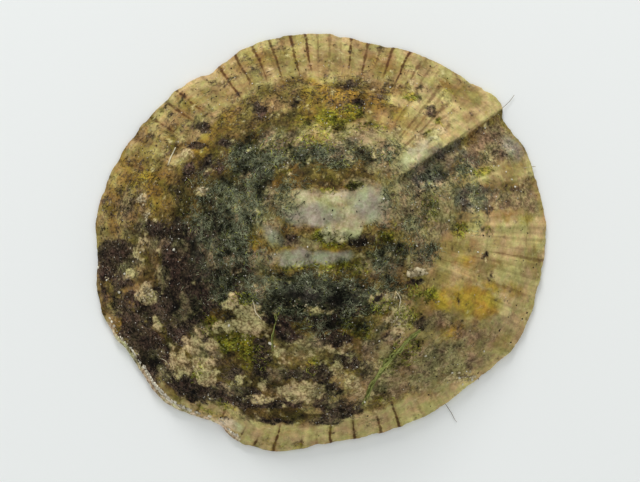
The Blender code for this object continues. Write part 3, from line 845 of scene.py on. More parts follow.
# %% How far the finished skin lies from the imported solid
SAMPLE_STEP = 37  # every so many points are measured
solid = bmesh.new()
solid.from_mesh(cad_shell.data)
solid_tree = BVHTree.FromBMesh(solid)
solid.free()
sample = points[::SAMPLE_STEP].tolist()
gaps = np.array([solid_tree.find_nearest(point)[3] for point in sample])
mean_gap, largest_gap = gaps.mean() / MM, gaps.max() / MM
print("off the packed solid by", round(mean_gap, 3), "mm on average, at most", round(largest_gap, 3))

# %% [markdown]
# ## Storing the layout on the mesh
#
# The layout goes onto the vertices as named attributes, which the materials read by name. Unlike an
# image, they need no unwrapping, and they stay with the shell however it is turned. The edge takes over
# what the outside has beside it, and the hollow gets only what shows on its own side.

# %% Attributes
def store(data, name, values):
    """Adds one number, or one vector, per vertex."""
    values = np.asarray(values, np.float32)
    is_vector = values.ndim == 2
    attribute = data.attributes.new(name, "FLOAT_VECTOR" if is_vector else "FLOAT", "POINT")
    attribute.data.foreach_set("vector" if is_vector else "value", values.ravel())


def on_outside(values, elsewhere=0.0):
    """Spreads the outside's column over all vertices of the shell."""
    spread = np.full(len(blank), elsewhere)
    spread[~is_hollow] = values
    return spread


for name, amount in growths.items():
    store(shell_data, name, on_outside(amount))
store(shell_data, "ray_gap", on_outside(ray_gap / MM, FAR_FROM_RAYS / MM))
store(shell_data, "ray", on_outside(ray_strength))
spoke = headings(bearing)
spoke[:, 2] = np.where(is_hollow, place * CONTACT_BAND, place)
store(shell_data, "spoke", spoke)
scar = np.zeros(len(blank))
scar[is_hollow] = scar_share(hollow_place, hollow_bearing)
store(shell_data, "scar", scar)
print(len(shell_data.attributes), "attributes on the shell")

# %% [markdown]
# ## Shader tools
#
# Each growth looks different but is painted in the same way, so three effects are made once, as node
# groups: one turns a soft amount into a ragged mask, one mottles two colours, and one makes streaks that
# run along the spokes or round them. A material then uses each group many times, with its own values.

# %% Short ways to add and to join nodes
def add_node(tree, kind, inputs=(), **options):
    """Adds a shader node. inputs maps a socket's name or number to a value, or to an output to link."""
    node = tree.nodes.new("ShaderNode" + kind)
    for name, value in options.items():
        setattr(node, name, value)
    for name, value in dict(inputs).items():
        connect(tree, value, node.inputs[name])
    return node


def connect(tree, value, socket):
    if isinstance(value, bpy.types.NodeSocket):
        tree.links.new(value, socket)
    else:
        socket.default_value = value


def math_node(tree, operation, first, second=0.0):
    return add_node(tree, "Math", {0: first, 1: second}, operation=operation).outputs[0]


def scaled(tree, value, factor, offset):
    return add_node(tree, "Math", {0: value, 1: factor, 2: offset}, operation="MULTIPLY_ADD").outputs[0]


def ramp_node(tree, value, low, high):
    """0 below low and 1 above high, smoothly."""
    limits = {"Value": value, "From Min": low, "From Max": high}
    return add_node(tree, "MapRange", limits, interpolation_type="SMOOTHSTEP").outputs["Result"]


def blend(tree, below, above, share, blend_type="MIX"):
    """One colour over another."""
    inputs = {0: share, 6: below, 7: above}
    return add_node(tree, "Mix", inputs, data_type="RGBA", blend_type=blend_type).outputs[2]


def attribute(tree, name, output="Fac"):
    return add_node(tree, "Attribute", attribute_name=name).outputs[output]


def new_group(name, inputs, outputs):
    """A node group with named sockets: inputs and outputs map a name to (kind, starting value)."""
    tree = bpy.data.node_groups.new(name, "ShaderNodeTree")
    for in_out, sockets in (("INPUT", inputs), ("OUTPUT", outputs)):
        for socket_name, (kind, start) in sockets.items():
            made = tree.interface.new_socket(socket_name, in_out=in_out, socket_type="NodeSocket" + kind)
            if start is not None:
                made.default_value = start
    return tree, tree.nodes.new("NodeGroupInput").outputs, tree.nodes.new("NodeGroupOutput").inputs


def use_group(tree, group, **values):
    """Places a node group in a material. A value's name is its socket's name, with _ for each space."""
    node = tree.nodes.new("ShaderNodeGroup")
    node.node_tree = group
    for name, value in values.items():
        connect(tree, value, node.inputs[name.replace("_", " ")])
    return node.outputs


# %% Group: a ragged mask from a soft amount
def noise_node(tree, size, detail=4.0, roughness=0.6, seed=0.0, vector=None):
    """Noise in the shell's own space. size is about that of its largest blots; seed picks another field."""
    here = vector or add_node(tree, "TexCoord").outputs["Object"]
    inputs = {"Vector": here, "Scale": size, "W": seed, "Detail": detail, "Roughness": roughness}
    if not isinstance(size, bpy.types.NodeSocket):
        inputs["Scale"] = 1.0 / size
    return add_node(tree, "TexNoise", inputs, noise_dimensions="4D").outputs


def around_half(tree, value, half_width):
    """0 below a half and 1 above it, over a slope of this half width."""
    low = math_node(tree, "SUBTRACT", 0.5, half_width)
    high = math_node(tree, "ADD", 0.5, half_width)
    return ramp_node(tree, value, low, high)


def make_ragged():
    numbers = {"Amount": 0.0, "Scale": 3000.0, "Raggedness": 2.0, "Softness": 0.1, "Seed": 0.0}
    sockets = {name: ("Float", start) for name, start in numbers.items()}
    tree, given, out = new_group("ragged growth", sockets, {"Mask": ("Float", None)})
    grit = noise_node(tree, given["Scale"], 7.0, 0.68, given["Seed"])["Fac"]
    uneven = math_node(tree, "SUBTRACT", grit, 0.5)
    moved = math_node(tree, "ADD", given["Amount"], math_node(tree, "MULTIPLY", uneven, given["Raggedness"]))
    tree.links.new(around_half(tree, moved, given["Softness"]), out["Mask"])
    return tree


ragged = make_ragged()

# %% Group: two colours, mottled
GRAIN_BLOTS = 0.15 * MM


def make_mottle():
    sockets = {"Dark": ("Color", None), "Light": ("Color", None)}
    numbers = {"Scale": 2000.0, "Softness": 0.15, "Seed": 0.0, "Grain": 0.8}
    sockets.update({name: ("Float", start) for name, start in numbers.items()})
    tree, given, out = new_group("mottled colour", sockets, {"Color": ("Color", None)})
    grit = noise_node(tree, given["Scale"], 6.0, 0.78, given["Seed"])["Fac"]
    grain = noise_node(tree, GRAIN_BLOTS, 2.0, 0.6, given["Seed"])["Fac"]
    grain = math_node(tree, "MULTIPLY", math_node(tree, "SUBTRACT", grain, 0.5), given["Grain"])
    share = around_half(tree, math_node(tree, "ADD", grit, grain), given["Softness"])
    tree.links.new(blend(tree, given["Dark"], given["Light"], share), out["Color"])
    return tree


mottle = make_mottle()

# %% Group: streaks that follow the shell's growth
def make_streaks():
    sockets = {"Around": ("Float", 60.0), "Along": ("Float", 3.0), "Softness": ("Float", 0.2)}
    tree, given, out = new_group("growth streaks", sockets, {"Value": ("Float", None)})
    scales = add_node(tree, "CombineXYZ", {"X": given["Around"], "Y": given["Around"], "Z": given["Along"]})
    on_spoke = attribute(tree, "spoke", "Vector")
    stretched = add_node(tree, "VectorMath", {0: on_spoke, 1: scales.outputs[0]}, operation="MULTIPLY")
    grit = add_node(tree, "TexNoise", {"Vector": stretched.outputs[0], "Scale": 1.0, "Detail": 3.0})
    tree.links.new(around_half(tree, grit.outputs["Fac"], given["Softness"]), out["Value"])
    return tree


streaks = make_streaks()
print("node groups:", [group.name for group in bpy.data.node_groups])

# %% [markdown]
# ## The weathered outside
#
# The outside is painted as it weathered, from the shell up: brown, tan and cream shell, stained umber,
# ochre and amber, with its streaks, growth lines and rays; then green alga and films of soot, dust, felt
# and silt, where the soot layer also carries painted shade along the fold and under the crumbs; then
# crust, and last the worn summit. Painted shade darkens the fine pits too. Each layer is a mottled colour
# under a ragged mask, which a reader can switch off to see what lies below it.

# %% Colours of the shell and of what grows on it, each from dark to light
BROWN_SHELL = ((0.055, 0.036, 0.012, 1.0), (0.290, 0.215, 0.080, 1.0))
UMBER_STAIN = ((0.009, 0.007, 0.003, 1.0), (0.145, 0.106, 0.035, 1.0))
TAN_SHELL = ((0.260, 0.185, 0.078, 1.0), (0.560, 0.430, 0.210, 1.0))
CREAM_SHELL = ((0.370, 0.285, 0.125, 1.0), (0.690, 0.600, 0.350, 1.0))
RAY_BROWN, RAY_HALO = (0.080, 0.033, 0.013, 1.0), (0.300, 0.175, 0.065, 1.0)
PATINA = ((0.070, 0.043, 0.010, 1.0), (0.300, 0.205, 0.064, 1.0))
OCHRE_STAIN = ((0.145, 0.089, 0.014, 1.0), (0.455, 0.322, 0.074, 1.0))
AMBER_STAIN = ((0.320, 0.205, 0.026, 1.0), (0.660, 0.460, 0.075, 1.0))
DUSTY_FILM = ((0.068, 0.049, 0.033, 1.0), (0.370, 0.285, 0.190, 1.0))
GREEN_FILM = ((0.050, 0.048, 0.004, 1.0), (0.360, 0.330, 0.030, 1.0))
SOOT_AND_SHADE_TONES = ((0.006, 0.004, 0.005, 1.0), (0.105, 0.072, 0.062, 1.0))
FELT_GROUND = ((0.004, 0.005, 0.003, 1.0), (0.088, 0.092, 0.054, 1.0))
SILT_FILM = ((0.120, 0.100, 0.056, 1.0), (0.450, 0.385, 0.245, 1.0))
CHALK_BREAK = ((0.260, 0.200, 0.120, 1.0), (0.760, 0.700, 0.560, 1.0))
LIME_CRUST = ((0.190, 0.140, 0.066, 1.0), (0.660, 0.560, 0.325, 1.0))
WORN_CREAM = ((0.330, 0.300, 0.160, 1.0), (0.740, 0.720, 0.560, 1.0))
WORN_BLUE = ((0.150, 0.145, 0.120, 1.0), (0.460, 0.480, 0.450, 1.0))
BLUE_GREY_FILM = ((0.012, 0.013, 0.014, 1.0), (0.150, 0.156, 0.138, 1.0))
WARM_TINT, GREEN_TINT = (1.0, 0.81, 0.72, 1.0), (0.93, 1.0, 0.67, 1.0)

# %% One layer of growth
def new_material(name):
    """A material whose tree holds only its Principled shader and its output."""
    material = bpy.data.materials.new(name)
    material.use_nodes = True
    return material, material.node_tree, material.node_tree.nodes["Principled BSDF"]


def grey(tree, value):
    return add_node(tree, "CombineColor", {0: value, 1: value, 2: value}).outputs[0]


SEED_STEP = 3.7  # the number of nodes so far, times this, gives each layer its own noise
STRAYS_END = 0.02, 0.20  # the amounts between which a growth that doesn't stray fades in


def layer(
    tree, below, name, colours, edge=(1.0, 2.2, 0.12), blots=(0.9, 0.12), cover=1.0, grain=0.8, strays=True
):
    """Lays one growth over a colour, and returns the colour and the growth's mask.

    edge is how its mask breaks up: the size in mm of the largest tatters, their depth and their softness.
    blots is how its two colours mix: the size in mm of the largest blots and how softly they meet. cover is
    how opaque it is where it lies thickest, and grain how much its two colours alternate from grain to grain.
    Where the amount is 0, a growth that strays leaves a few tatters, and one that doesn't leaves none.
    """
    seed = SEED_STEP * len(tree.nodes)
    size, raggedness, softness = edge
    tatters = {"Scale": 1.0 / (size * MM), "Raggedness": raggedness, "Softness": softness, "Seed": seed}
    mask = use_group(tree, ragged, Amount=attribute(tree, name), **tatters)["Mask"]
    mask = math_node(tree, "MULTIPLY", mask, cover)
    if not strays:
        mask = math_node(tree, "MULTIPLY", mask, ramp_node(tree, attribute(tree, name), *STRAYS_END))
    size, softness = blots
    blotches = {"Scale": 1.0 / (size * MM), "Softness": softness, "Seed": seed, "Grain": grain}
    coat = use_group(tree, mottle, Dark=colours[0], Light=colours[1], **blotches)["Color"]
    return blend(tree, below, coat, mask), mask


CLOUD_SIZE = 1.2 * MM
DARKEST_CLOUD, LIGHTEST_CLOUD = 0.10, 2.02


def clouds(tree):
    """Patches of lighter and darker dirt, the same for the shell and for the threads on it."""
    here = noise_node(tree, CLOUD_SIZE, 7.0, 0.72, seed=20.0)["Fac"]
    limits = {"From Min": 0.39, "From Max": 0.61, "To Min": DARKEST_CLOUD, "To Max": LIGHTEST_CLOUD}
    return grey(tree, add_node(tree, "MapRange", {"Value": here, **limits}).outputs["Result"])


# %% The outside's material
def bare_shell(tree, lines):
    """The shell's own colours and the stains that sank into it, with its streaks."""
    colour = use_group(
        tree, mottle, Dark=BROWN_SHELL[0], Light=BROWN_SHELL[1], Scale=1.0 / (1.4 * MM), Softness=0.16
    )["Color"]
    colour, umber = layer(tree, colour, "umber", UMBER_STAIN, (1.3, 2.6, 0.25), (1.0, 0.2), 0.9)
    colour, _ = layer(tree, colour, "tan", TAN_SHELL, (1.4, 2.2, 0.35), (1.2, 0.30), grain=0.3)
    colour, _ = layer(tree, colour, "cream", CREAM_SHELL, (1.2, 2.0, 0.35), (1.1, 0.34), grain=0.25)
    colour, _ = layer(tree, colour, "ochre", OCHRE_STAIN, (1.4, 2.4, 0.35), (0.8, 0.26), 0.85, grain=0.5)
    colour, _ = layer(tree, colour, "patina", PATINA, (1.1, 2.6, 0.45), (0.9, 0.28), 0.62, grain=0.5)
    colour, _ = layer(tree, colour, "amber", AMBER_STAIN, (1.2, 2.0, 0.45), (0.7, 0.30), 0.85, grain=0.5)
    return blend(tree, colour, grey(tree, scaled(tree, lines, 1.0, 0.80)), 1.0, "MULTIPLY"), umber


RAY_FRAY, RAY_FRAY_SIZE = 0.36, 0.45 * MM  # how far, in mm, the edge of a ray strays
RAY_BREAKS = 0.14, 0.42  # the values of the noise between which a ray fades in
# Each part of a ray: its tone, from where to where in mm its edge fades, and how opaque it is.
RAY_PARTS = ((RAY_HALO, 0.08, 0.42, 0.36), (RAY_BROWN, 0.03, 0.15, 0.95))


def with_rays(tree, colour):
    """The brown rays: each is a dark line with a frayed edge in a softer, orange-brown halo."""
    frayed = noise_node(tree, RAY_FRAY_SIZE, 4.0, seed=5.0)["Fac"]
    distance = attribute(tree, "ray_gap")
    gap = math_node(tree, "ADD", distance, scaled(tree, frayed, -RAY_FRAY, RAY_FRAY / 2.0))
    strength = math_node(tree, "MULTIPLY", attribute(tree, "ray"), ramp_node(tree, frayed, *RAY_BREAKS))
    for tone, inner, outer, share in RAY_PARTS:
        line = math_node(tree, "SUBTRACT", 1.0, ramp_node(tree, gap, inner, outer))
        line = math_node(tree, "MULTIPLY", math_node(tree, "MULTIPLY", line, strength), share)
        colour = blend(tree, colour, tone, line)
    return colour


PIT_BLOTS, TINT_BLOTS, LUMP_BLOTS = 0.16 * MM, 1.1 * MM, 0.6 * MM
OUTSIDE_BUMP = 0.07 * MM
SOOT_DARKENS, DARKEST_SOOT = (0.9, 2.1), 0.50  # the amounts between which soot darkens, and by how much


def weathered_outside():
    material, tree, surface = new_material("weathered_outside")
    riblet = use_group(tree, streaks, Around=48.0, Along=2.0)["Value"]
    ring = use_group(tree, streaks, Around=2.4, Along=95.0)["Value"]
    lines = math_node(tree, "ADD", scaled(tree, riblet, 0.25, 0.0), scaled(tree, ring, 0.13, 0.0))
    colour, umber = bare_shell(tree, lines)
    colour = with_rays(tree, colour)
    colour, green = layer(tree, colour, "green", GREEN_FILM, (1.0, 3.0, 0.38), (0.6, 0.16), 0.78)
    # The soot layer also lays painted shade along the fold and under the crumbs.
    colour, soot_and_shade = layer(tree, colour, "soot_and_shade", SOOT_AND_SHADE_TONES, (0.9, 3.6, 0.26), (0.6, 0.14), 0.92)
    colour, dusty = layer(tree, colour, "dusty", DUSTY_FILM, (0.9, 2.4, 0.40), (0.45, 0.20), 0.80)
    colour, felt = layer(tree, colour, "felt", FELT_GROUND, (1.2, 2.8, 0.16), (1.0, 0.1), 0.92)
    colour, _ = layer(tree, colour, "blue_grey", BLUE_GREY_FILM, (1.0, 2.4, 0.30), (0.8, 0.16), 0.75)
    colour, _ = layer(tree, colour, "silt", SILT_FILM, (0.9, 2.6, 0.26), (0.8, 0.16), 0.72, strays=False)
    thick = ramp_node(tree, attribute(tree, "soot_and_shade"), *SOOT_DARKENS)
    colour = blend(tree, colour, grey(tree, scaled(tree, thick, -DARKEST_SOOT, 1.0)), 1.0, "MULTIPLY")
    colour, lime = layer(tree, colour, "lime", LIME_CRUST, (0.5, 2.2, 0.30), (0.5, 0.16), 0.92)
    colour, _ = layer(tree, colour, "chalk", CHALK_BREAK, (0.5, 2.6, 0.08), (0.5, 0.15), strays=False)
    washed = (1.0, 2.0, 0.60)
    colour, worn = layer(tree, colour, "worn", WORN_CREAM, washed, (1.3, 0.30), 0.95, 0.5, strays=False)
    colour, _ = layer(tree, colour, "bluish", WORN_BLUE, washed, (1.1, 0.30), 0.8, 0.5, strays=False)

    # Dirt shows more where the shell is covered, and less where it is clean.
    covered = math_node(tree, "MAXIMUM", math_node(tree, "MAXIMUM", soot_and_shade, felt), green)
    covered = math_node(tree, "MAXIMUM", covered, scaled(tree, umber, 0.6, 0.0))
    covered = math_node(tree, "MAXIMUM", covered, scaled(tree, dusty, 0.5, 0.0))
    clean = math_node(tree, "MAXIMUM", lime, scaled(tree, worn, 0.5, 0.0))
    covered = math_node(tree, "MULTIPLY", covered, scaled(tree, clean, -0.8, 1.0))
    cloudy = blend(tree, (1.0, 1.0, 1.0, 1.0), clouds(tree), scaled(tree, covered, 0.76, 0.22))
    colour = blend(tree, colour, cloudy, 1.0, "MULTIPLY")
    fine = noise_node(tree, PIT_BLOTS, 3.0, 0.7, seed=2.0)
    tint = noise_node(tree, TINT_BLOTS, 8.0, 0.70, seed=9.0)["Fac"]
    tint = blend(tree, WARM_TINT, GREEN_TINT, around_half(tree, tint, 0.12))
    colour = blend(tree, colour, tint, scaled(tree, lime, -0.3, 1.0), "MULTIPLY")
    # Painted shade: the colour darkens where the fine noise is low, where the bump sinks into pits, and more
    # so where the shell is covered.
    depth = scaled(tree, covered, 0.88, 0.10)
    pit_shade = math_node(tree, "SUBTRACT", 1.0, ramp_node(tree, fine["Fac"], 0.30, 0.56))
    unshaded_share = math_node(tree, "SUBTRACT", 1.0, math_node(tree, "MULTIPLY", pit_shade, depth))
    colour = blend(tree, colour, grey(tree, unshaded_share), 1.0, "MULTIPLY")
    tree.links.new(colour, surface.inputs["Base Color"])

    dull = math_node(tree, "ADD", scaled(tree, fine["Fac"], 0.35, 0.50), scaled(tree, felt, 0.20, 0.0))
    dull = math_node(tree, "ADD", dull, scaled(tree, worn, -0.18, 0.0))
    tree.links.new(dull, surface.inputs["Roughness"])

    coarse = noise_node(tree, LUMP_BLOTS, 7.0, 0.75, seed=4.0)["Fac"]
    height = math_node(tree, "MULTIPLY", coarse, scaled(tree, covered, 0.7, 0.5))
    grit = math_node(tree, "MULTIPLY", fine["Fac"], covered)
    for part in (grit, lines, lime):
        height = math_node(tree, "ADD", height, scaled(tree, part, 0.5, 0.0))
    bump = add_node(tree, "Bump", {"Height": height, "Strength": 0.9, "Distance": OUTSIDE_BUMP})
    tree.links.new(bump.outputs["Normal"], surface.inputs["Normal"])
    surface.inputs["Specular IOR Level"].default_value = 0.07
    return material


outside_finish = weathered_outside()
print(outside_finish.name, "has", len(outside_finish.node_tree.nodes), "nodes")

# %% [markdown]
# ## The smooth hollow
#
# Inside, a limpet shell is polished: the animal kept laying down thin, hard layers there. Under the
# summit lies a brown print as wide as its body, round it the horseshoe scar of the foot's muscle, then a
# cool, pale field, and at the margin the outside's cream and brown rays again. The colour follows the
# place on the spoke.

# %% The hollow's material
HOLLOW_BROWN = ((0.110, 0.055, 0.022, 1.0), (0.300, 0.180, 0.090, 1.0))
HOLLOW_PALE = ((0.420, 0.450, 0.430, 1.0), (0.640, 0.660, 0.620, 1.0))
HOLLOW_MARGIN = ((0.300, 0.250, 0.120, 1.0), (0.520, 0.460, 0.270, 1.0))
SCAR_CREAM = (0.620, 0.560, 0.430, 1.0)
HOLLOW_CLOUDS, BROWN_BLOTS, HOLLOW_BUMP = 2.6 * MM, 2.2 * MM, 0.04 * MM
HOLLOW_UNEVENNESS = 0.22  # how far the clouds move the borders of the fields, as a share of the spoke


def smooth_hollow():
    material, tree, surface = new_material("smooth_hollow")
    on_spoke = add_node(tree, "SeparateXYZ", {0: attribute(tree, "spoke", "Vector")}).outputs
    cloud = noise_node(tree, HOLLOW_CLOUDS, 5.0, 0.5)["Fac"]
    uneven = math_node(tree, "MULTIPLY", math_node(tree, "SUBTRACT", cloud, 0.5), HOLLOW_UNEVENNESS)
    place_here = math_node(tree, "ADD", on_spoke["Z"], uneven)
    sheen = use_group(tree, streaks, Around=14.0, Along=5.0, Softness=0.25)["Value"]
    pale = blend(tree, HOLLOW_PALE[0], HOLLOW_PALE[1], sheen)
    brown = use_group(
        tree, mottle, Dark=HOLLOW_BROWN[0], Light=HOLLOW_BROWN[1], Scale=1.0 / BROWN_BLOTS, Softness=0.2
    )["Color"]
    inner = math_node(tree, "SUBTRACT", 1.0, ramp_node(tree, place_here, 0.34, 0.54))
    colour = blend(tree, pale, brown, inner)
    colour = blend(tree, colour, SCAR_CREAM, math_node(tree, "MULTIPLY", attribute(tree, "scar"), 0.6))
    riblet = use_group(tree, streaks, Around=66.0, Along=2.0)["Value"]
    border = blend(tree, HOLLOW_MARGIN[0], HOLLOW_MARGIN[1], riblet)
    colour = blend(tree, colour, border, ramp_node(tree, place_here, 0.80, 0.93))
    rays = use_group(tree, streaks, Around=9.0, Along=0.6, Softness=0.1)["Value"]
    off_rays = math_node(tree, "SUBTRACT", 1.0, rays)
    dark_rays = math_node(tree, "MULTIPLY", off_rays, ramp_node(tree, place_here, 0.55, 0.95))
    colour = blend(tree, colour, RAY_BROWN, math_node(tree, "MULTIPLY", dark_rays, 0.55))
    tree.links.new(colour, surface.inputs["Base Color"])
    tree.links.new(scaled(tree, cloud, 0.30, 0.14), surface.inputs["Roughness"])
    bump = add_node(tree, "Bump", {"Height": sheen, "Strength": 0.25, "Distance": HOLLOW_BUMP})
    tree.links.new(bump.outputs["Normal"], surface.inputs["Normal"])
    surface.inputs["Coat Weight"].default_value = 0.25
    surface.inputs["Coat Roughness"].default_value = 0.15
    return material


hollow_finish = smooth_hollow()
print(hollow_finish.name, "has", len(hollow_finish.node_tree.nodes), "nodes")

# %% A flat map of the skin: the outside as one disc, the hollow as a smaller one
# Each disc: where its middle lies, across and up, and its radius.
OUTER_DISC, HOLLOW_DISC = (0.37, 0.37, 0.362), (0.785, 0.785, 0.205)
EDGE_REACH = {EDGE_MIDDLE: 1.008, EDGE_FOOT: 1.016}

corners = column(shell_data, "loops", "vertex_index", 1, np.int32)
starts = column(shell_data, "polygons", "loop_start", 1, np.int32)
# The faces that touch the hollow's own grid.
hollow_faces = np.logical_or.reduceat(is_hollow[corners], starts)


def unroll():
    """Each corner's place on the map. The hollow's faces lie in its own disc, up to their outer border."""
    in_hollow = np.repeat(hollow_faces, column(shell_data, "polygons", "loop_total", 1, np.int32))
    reach = place.copy()
    for edge_level, share in EDGE_REACH.items():
        reach[level == edge_level] = share
    flat = headings(bearing)[:, :2] * reach[:, None]
    discs = np.where(in_hollow[:, None], HOLLOW_DISC, OUTER_DISC)
    return discs[:, :2] + flat[corners] * discs[:, 2:]


shell_data.uv_layers.new(name="OFBake").data.foreach_set("uv", unroll().ravel())
print(hollow_faces.sum(), "faces of the hollow,", (~hollow_faces).sum(), "of the outside and its edge")

# %% The shell becomes a piece
shell_data.polygons.foreach_set("material_index", hollow_faces.astype(np.int32))
shell_data.shade_smooth()
shell_data.materials.append(outside_finish)
shell_data.materials.append(hollow_finish)
shell = bpy.data.objects.new("weathered_shell", shell_data)
bpy.context.scene.collection.objects.link(shell)
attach(shell, "root")
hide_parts("limpet_shell")
print(shell.name, "has", len(shell_data.polygons), "faces")

# %% [markdown]
# ## What lies on the shell
#
# Fine alga threads, moss, dust and sand are thousands of small bodies. Each kind is modelled a few times
# as a small template, and copies of the templates are then joined into one mesh. That keeps them real
# geometry, which casts shadows and shows against the light, and it stays quick: numpy places all copies
# at once.

# %% Templates
def tube(path, widths, sides=3):
    """A closed tube along the points of path: a face is drawn out from each point to the next."""
    mesh = bmesh.new()
    bmesh.ops.create_circle(mesh, cap_ends=True, segments=sides, radius=1.0)
    cap = mesh.faces[:][0]
    flat = [vert.co.copy() for vert in cap.verts]
    for index, (point, width) in enumerate(zip(path, widths)):
        if index:
            drawn = bmesh.ops.extrude_face_region(mesh, geom=[cap])["geom"]
            cap = next(part for part in drawn if isinstance(part, bmesh.types.BMFace))
        before, after = path[max(index - 1, 0)], path[min(index + 1, len(path) - 1)]
        across = (after - before).to_track_quat("Z", "Y").to_matrix()
        for vert, corner in zip(cap.verts, flat):
            vert.co = point + across @ (corner * width)
    return shape_of(mesh)


def shape_of(mesh):
    """The points and the triangles of a bmesh, as columns of numbers. Frees the bmesh."""
    bmesh.ops.recalc_face_normals(mesh, faces=mesh.faces)
    bmesh.ops.triangulate(mesh, faces=mesh.faces)
    places = np.array([vert.co for vert in mesh.verts])
    triangles = np.array([[vert.index for vert in face.verts] for face in mesh.faces])
    mesh.free()
    return places, triangles


def curly_thread(dice, steps, curl, lift, thickness):
    """A thread one unit long that lies along X, curls sideways and rises by up to lift."""
    heading = dice.uniform(-curl, curl)
    point, path = Vector((-0.5, 0.0, 0.0)), []
    for step in range(steps + 1):
        path.append(point.copy())
        heading += dice.uniform(-curl, curl)
        point += Vector((math.cos(heading), math.sin(heading), 0.0)) / steps
        point.z = lift * math.sin(math.pi * (step + 1) / steps) * dice.uniform(0.3, 1.0)
    shares = [math.sin(math.pi * (step + 0.5) / (steps + 1)) for step in range(steps + 1)]
    return tube(path, [thickness * (0.55 + 0.45 * share) for share in shares])


def crumb(dice, roughness, fineness=1):
    """A lump about one unit across: a ball of triangles, dented and stretched."""
    mesh = bmesh.new()
    bmesh.ops.create_icosphere(mesh, subdivisions=fineness, radius=0.5)
    stretch = Vector((dice.uniform(0.6, 1.0), dice.uniform(0.5, 0.9), dice.uniform(0.4, 0.8)))
    for vert in mesh.verts:
        vert.co = vert.co * stretch * dice.uniform(1.0 - roughness, 1.0 + roughness)
    return shape_of(mesh)


# %% Copies of the templates, joined into one piece
normals = column(shell_data, "vertex_normals", "vector", 3, np.float32)[~is_hollow]
skin = points[~is_hollow]
surface_rng = np.random.default_rng(11)
BARE_RIM = 0.985  # nothing is strewn beyond this place


def spots_on(amount, count):
    """Picks this many points of the outside, more of them where amount is larger."""
    share = np.clip(amount, 0.0, None) * (outside_place < BARE_RIM)
    return surface_rng.choice(len(skin), size=count, p=share / share.sum())


def frames_at(spots, turns, sizes):
    """At each spot, a copy's axes: along its turn (degrees from the spoke), across that, and outwards."""
    up = normals[spots].astype(float)
    turn = np.radians(outside_bearing[spots] + turns)
    along = np.stack([np.cos(turn), np.sin(turn), np.zeros_like(turn)], axis=1)
    along -= up * np.sum(along * up, axis=1, keepdims=True)
    along /= np.linalg.norm(along, axis=1, keepdims=True)
    return np.stack([along, np.cross(up, along), up], axis=2) * np.asarray(sizes)[:, None, None]


def joined(name, finish, templates, places, frames, tones, smooth=True):
    """One mesh with a copy of a template at each place. The templates take turns."""
    shapes, corners, tone, start = [], [], [], 0
    for number, (shape, triangles) in enumerate(templates):
        mine = slice(number, None, len(templates))
        placed = places[mine, None, :] + np.einsum("nij,mj->nmi", frames[mine], shape)
        copies, size = placed.shape[:2]
        shapes.append(placed.reshape(-1, 3))
        corners.append((triangles[None] + (start + size * np.arange(copies))[:, None, None]).reshape(-1, 3))
        tone.append(np.repeat(tones[mine], size))
        start += copies * size
    data = bpy.data.meshes.new(name)
    mesh_from_columns(data, np.concatenate(shapes), np.concatenate(corners))
    store(data, "tone", np.concatenate(tone))
    if smooth:
        data.shade_smooth()
    return piece(data, finish)


def mesh_from_columns(data, places, triangles):
    data.vertices.add(len(places))
    data.vertices.foreach_set("co", places.ravel())
    data.loops.add(triangles.size)
    data.loops.foreach_set("vertex_index", triangles.ravel())
    data.polygons.add(len(triangles))
    data.polygons.foreach_set("loop_start", np.arange(0, triangles.size, 3))
    data.update(calc_edges=True)
    data.validate()


def piece(data, finish):
    """Turns a mesh into a piece of the shell."""
    data.materials.append(finish)
    made = bpy.data.objects.new(data.name, data)
    bpy.context.scene.collection.objects.link(made)
    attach(made, "root")
    print(data.name, "has", len(data.polygons), "faces")
    return made


# %% A material for small matter
MATTER_BUMP = 0.02 * MM


def matter(name, dark, light, roughness=0.85, grain=0.12 * MM, specular=0.10, cloudiness=1.0):
    """Each copy has its own tone between dark and light, and a finer noise varies it further."""
    material, tree, surface = new_material(name)
    noise_here = noise_node(tree, grain, 4.0, 0.7)["Fac"]
    share = math_node(tree, "ADD", attribute(tree, "tone"), scaled(tree, noise_here, 1.2, -0.6))
    colour = blend(tree, dark, light, ramp_node(tree, share, 0.0, 1.0))
    colour = blend(tree, colour, clouds(tree), cloudiness, "MULTIPLY")
    tree.links.new(colour, surface.inputs["Base Color"])
    tree.links.new(scaled(tree, noise_here, 0.3, roughness - 0.15), surface.inputs["Roughness"])
    bump = add_node(tree, "Bump", {"Height": noise_here, "Strength": 0.5, "Distance": MATTER_BUMP})
    tree.links.new(bump.outputs["Normal"], surface.inputs["Normal"])
    surface.inputs["Specular IOR Level"].default_value = specular
    return material


# %% [markdown]
# ## Felt, fuzz and moss
#
# The dark ring round the summit is a felt of curly, pale grey-green alga threads over near-black mud.
# They lie flat, mostly across the spokes. Towards the left margin they give way to short brown fuzz, and
# where green alga grows, short bright blades stand up a little.

# %% Felt threads
dice = random.Random(3)
FELT_THREADS, FUZZ_THREADS, MOSS_BLADES = 6800, 6600, 2800
THREAD_SHAPES, THREAD_STEPS = 24, 4
SHORTEST, LONGEST = 0.5, 1.35  # as shares of the usual length
THREAD_SINK = 0.2  # how deep a thread lies in the skin, as a share of its thickness


def strewn_threads(name, finish, amount, count, length, thickness, lift, curl, spread):
    """Threads of about this length and thickness, strewn where amount is large.

    spread is how many degrees they stray from lying across the spokes.
    """
    slim = thickness / length / 2.0
    templates = [curly_thread(dice, THREAD_STEPS, curl, lift, slim) for _ in range(THREAD_SHAPES)]
    spots = spots_on(amount, count)
    sizes = length * surface_rng.uniform(SHORTEST, LONGEST, count)
    frames = frames_at(spots, 90.0 + surface_rng.normal(0.0, spread, count), sizes)
    lowered = skin[spots] - normals[spots] * (THREAD_SINK * thickness)
    return joined(name, finish, templates, lowered, frames, surface_rng.uniform(0.0, 1.0, count))


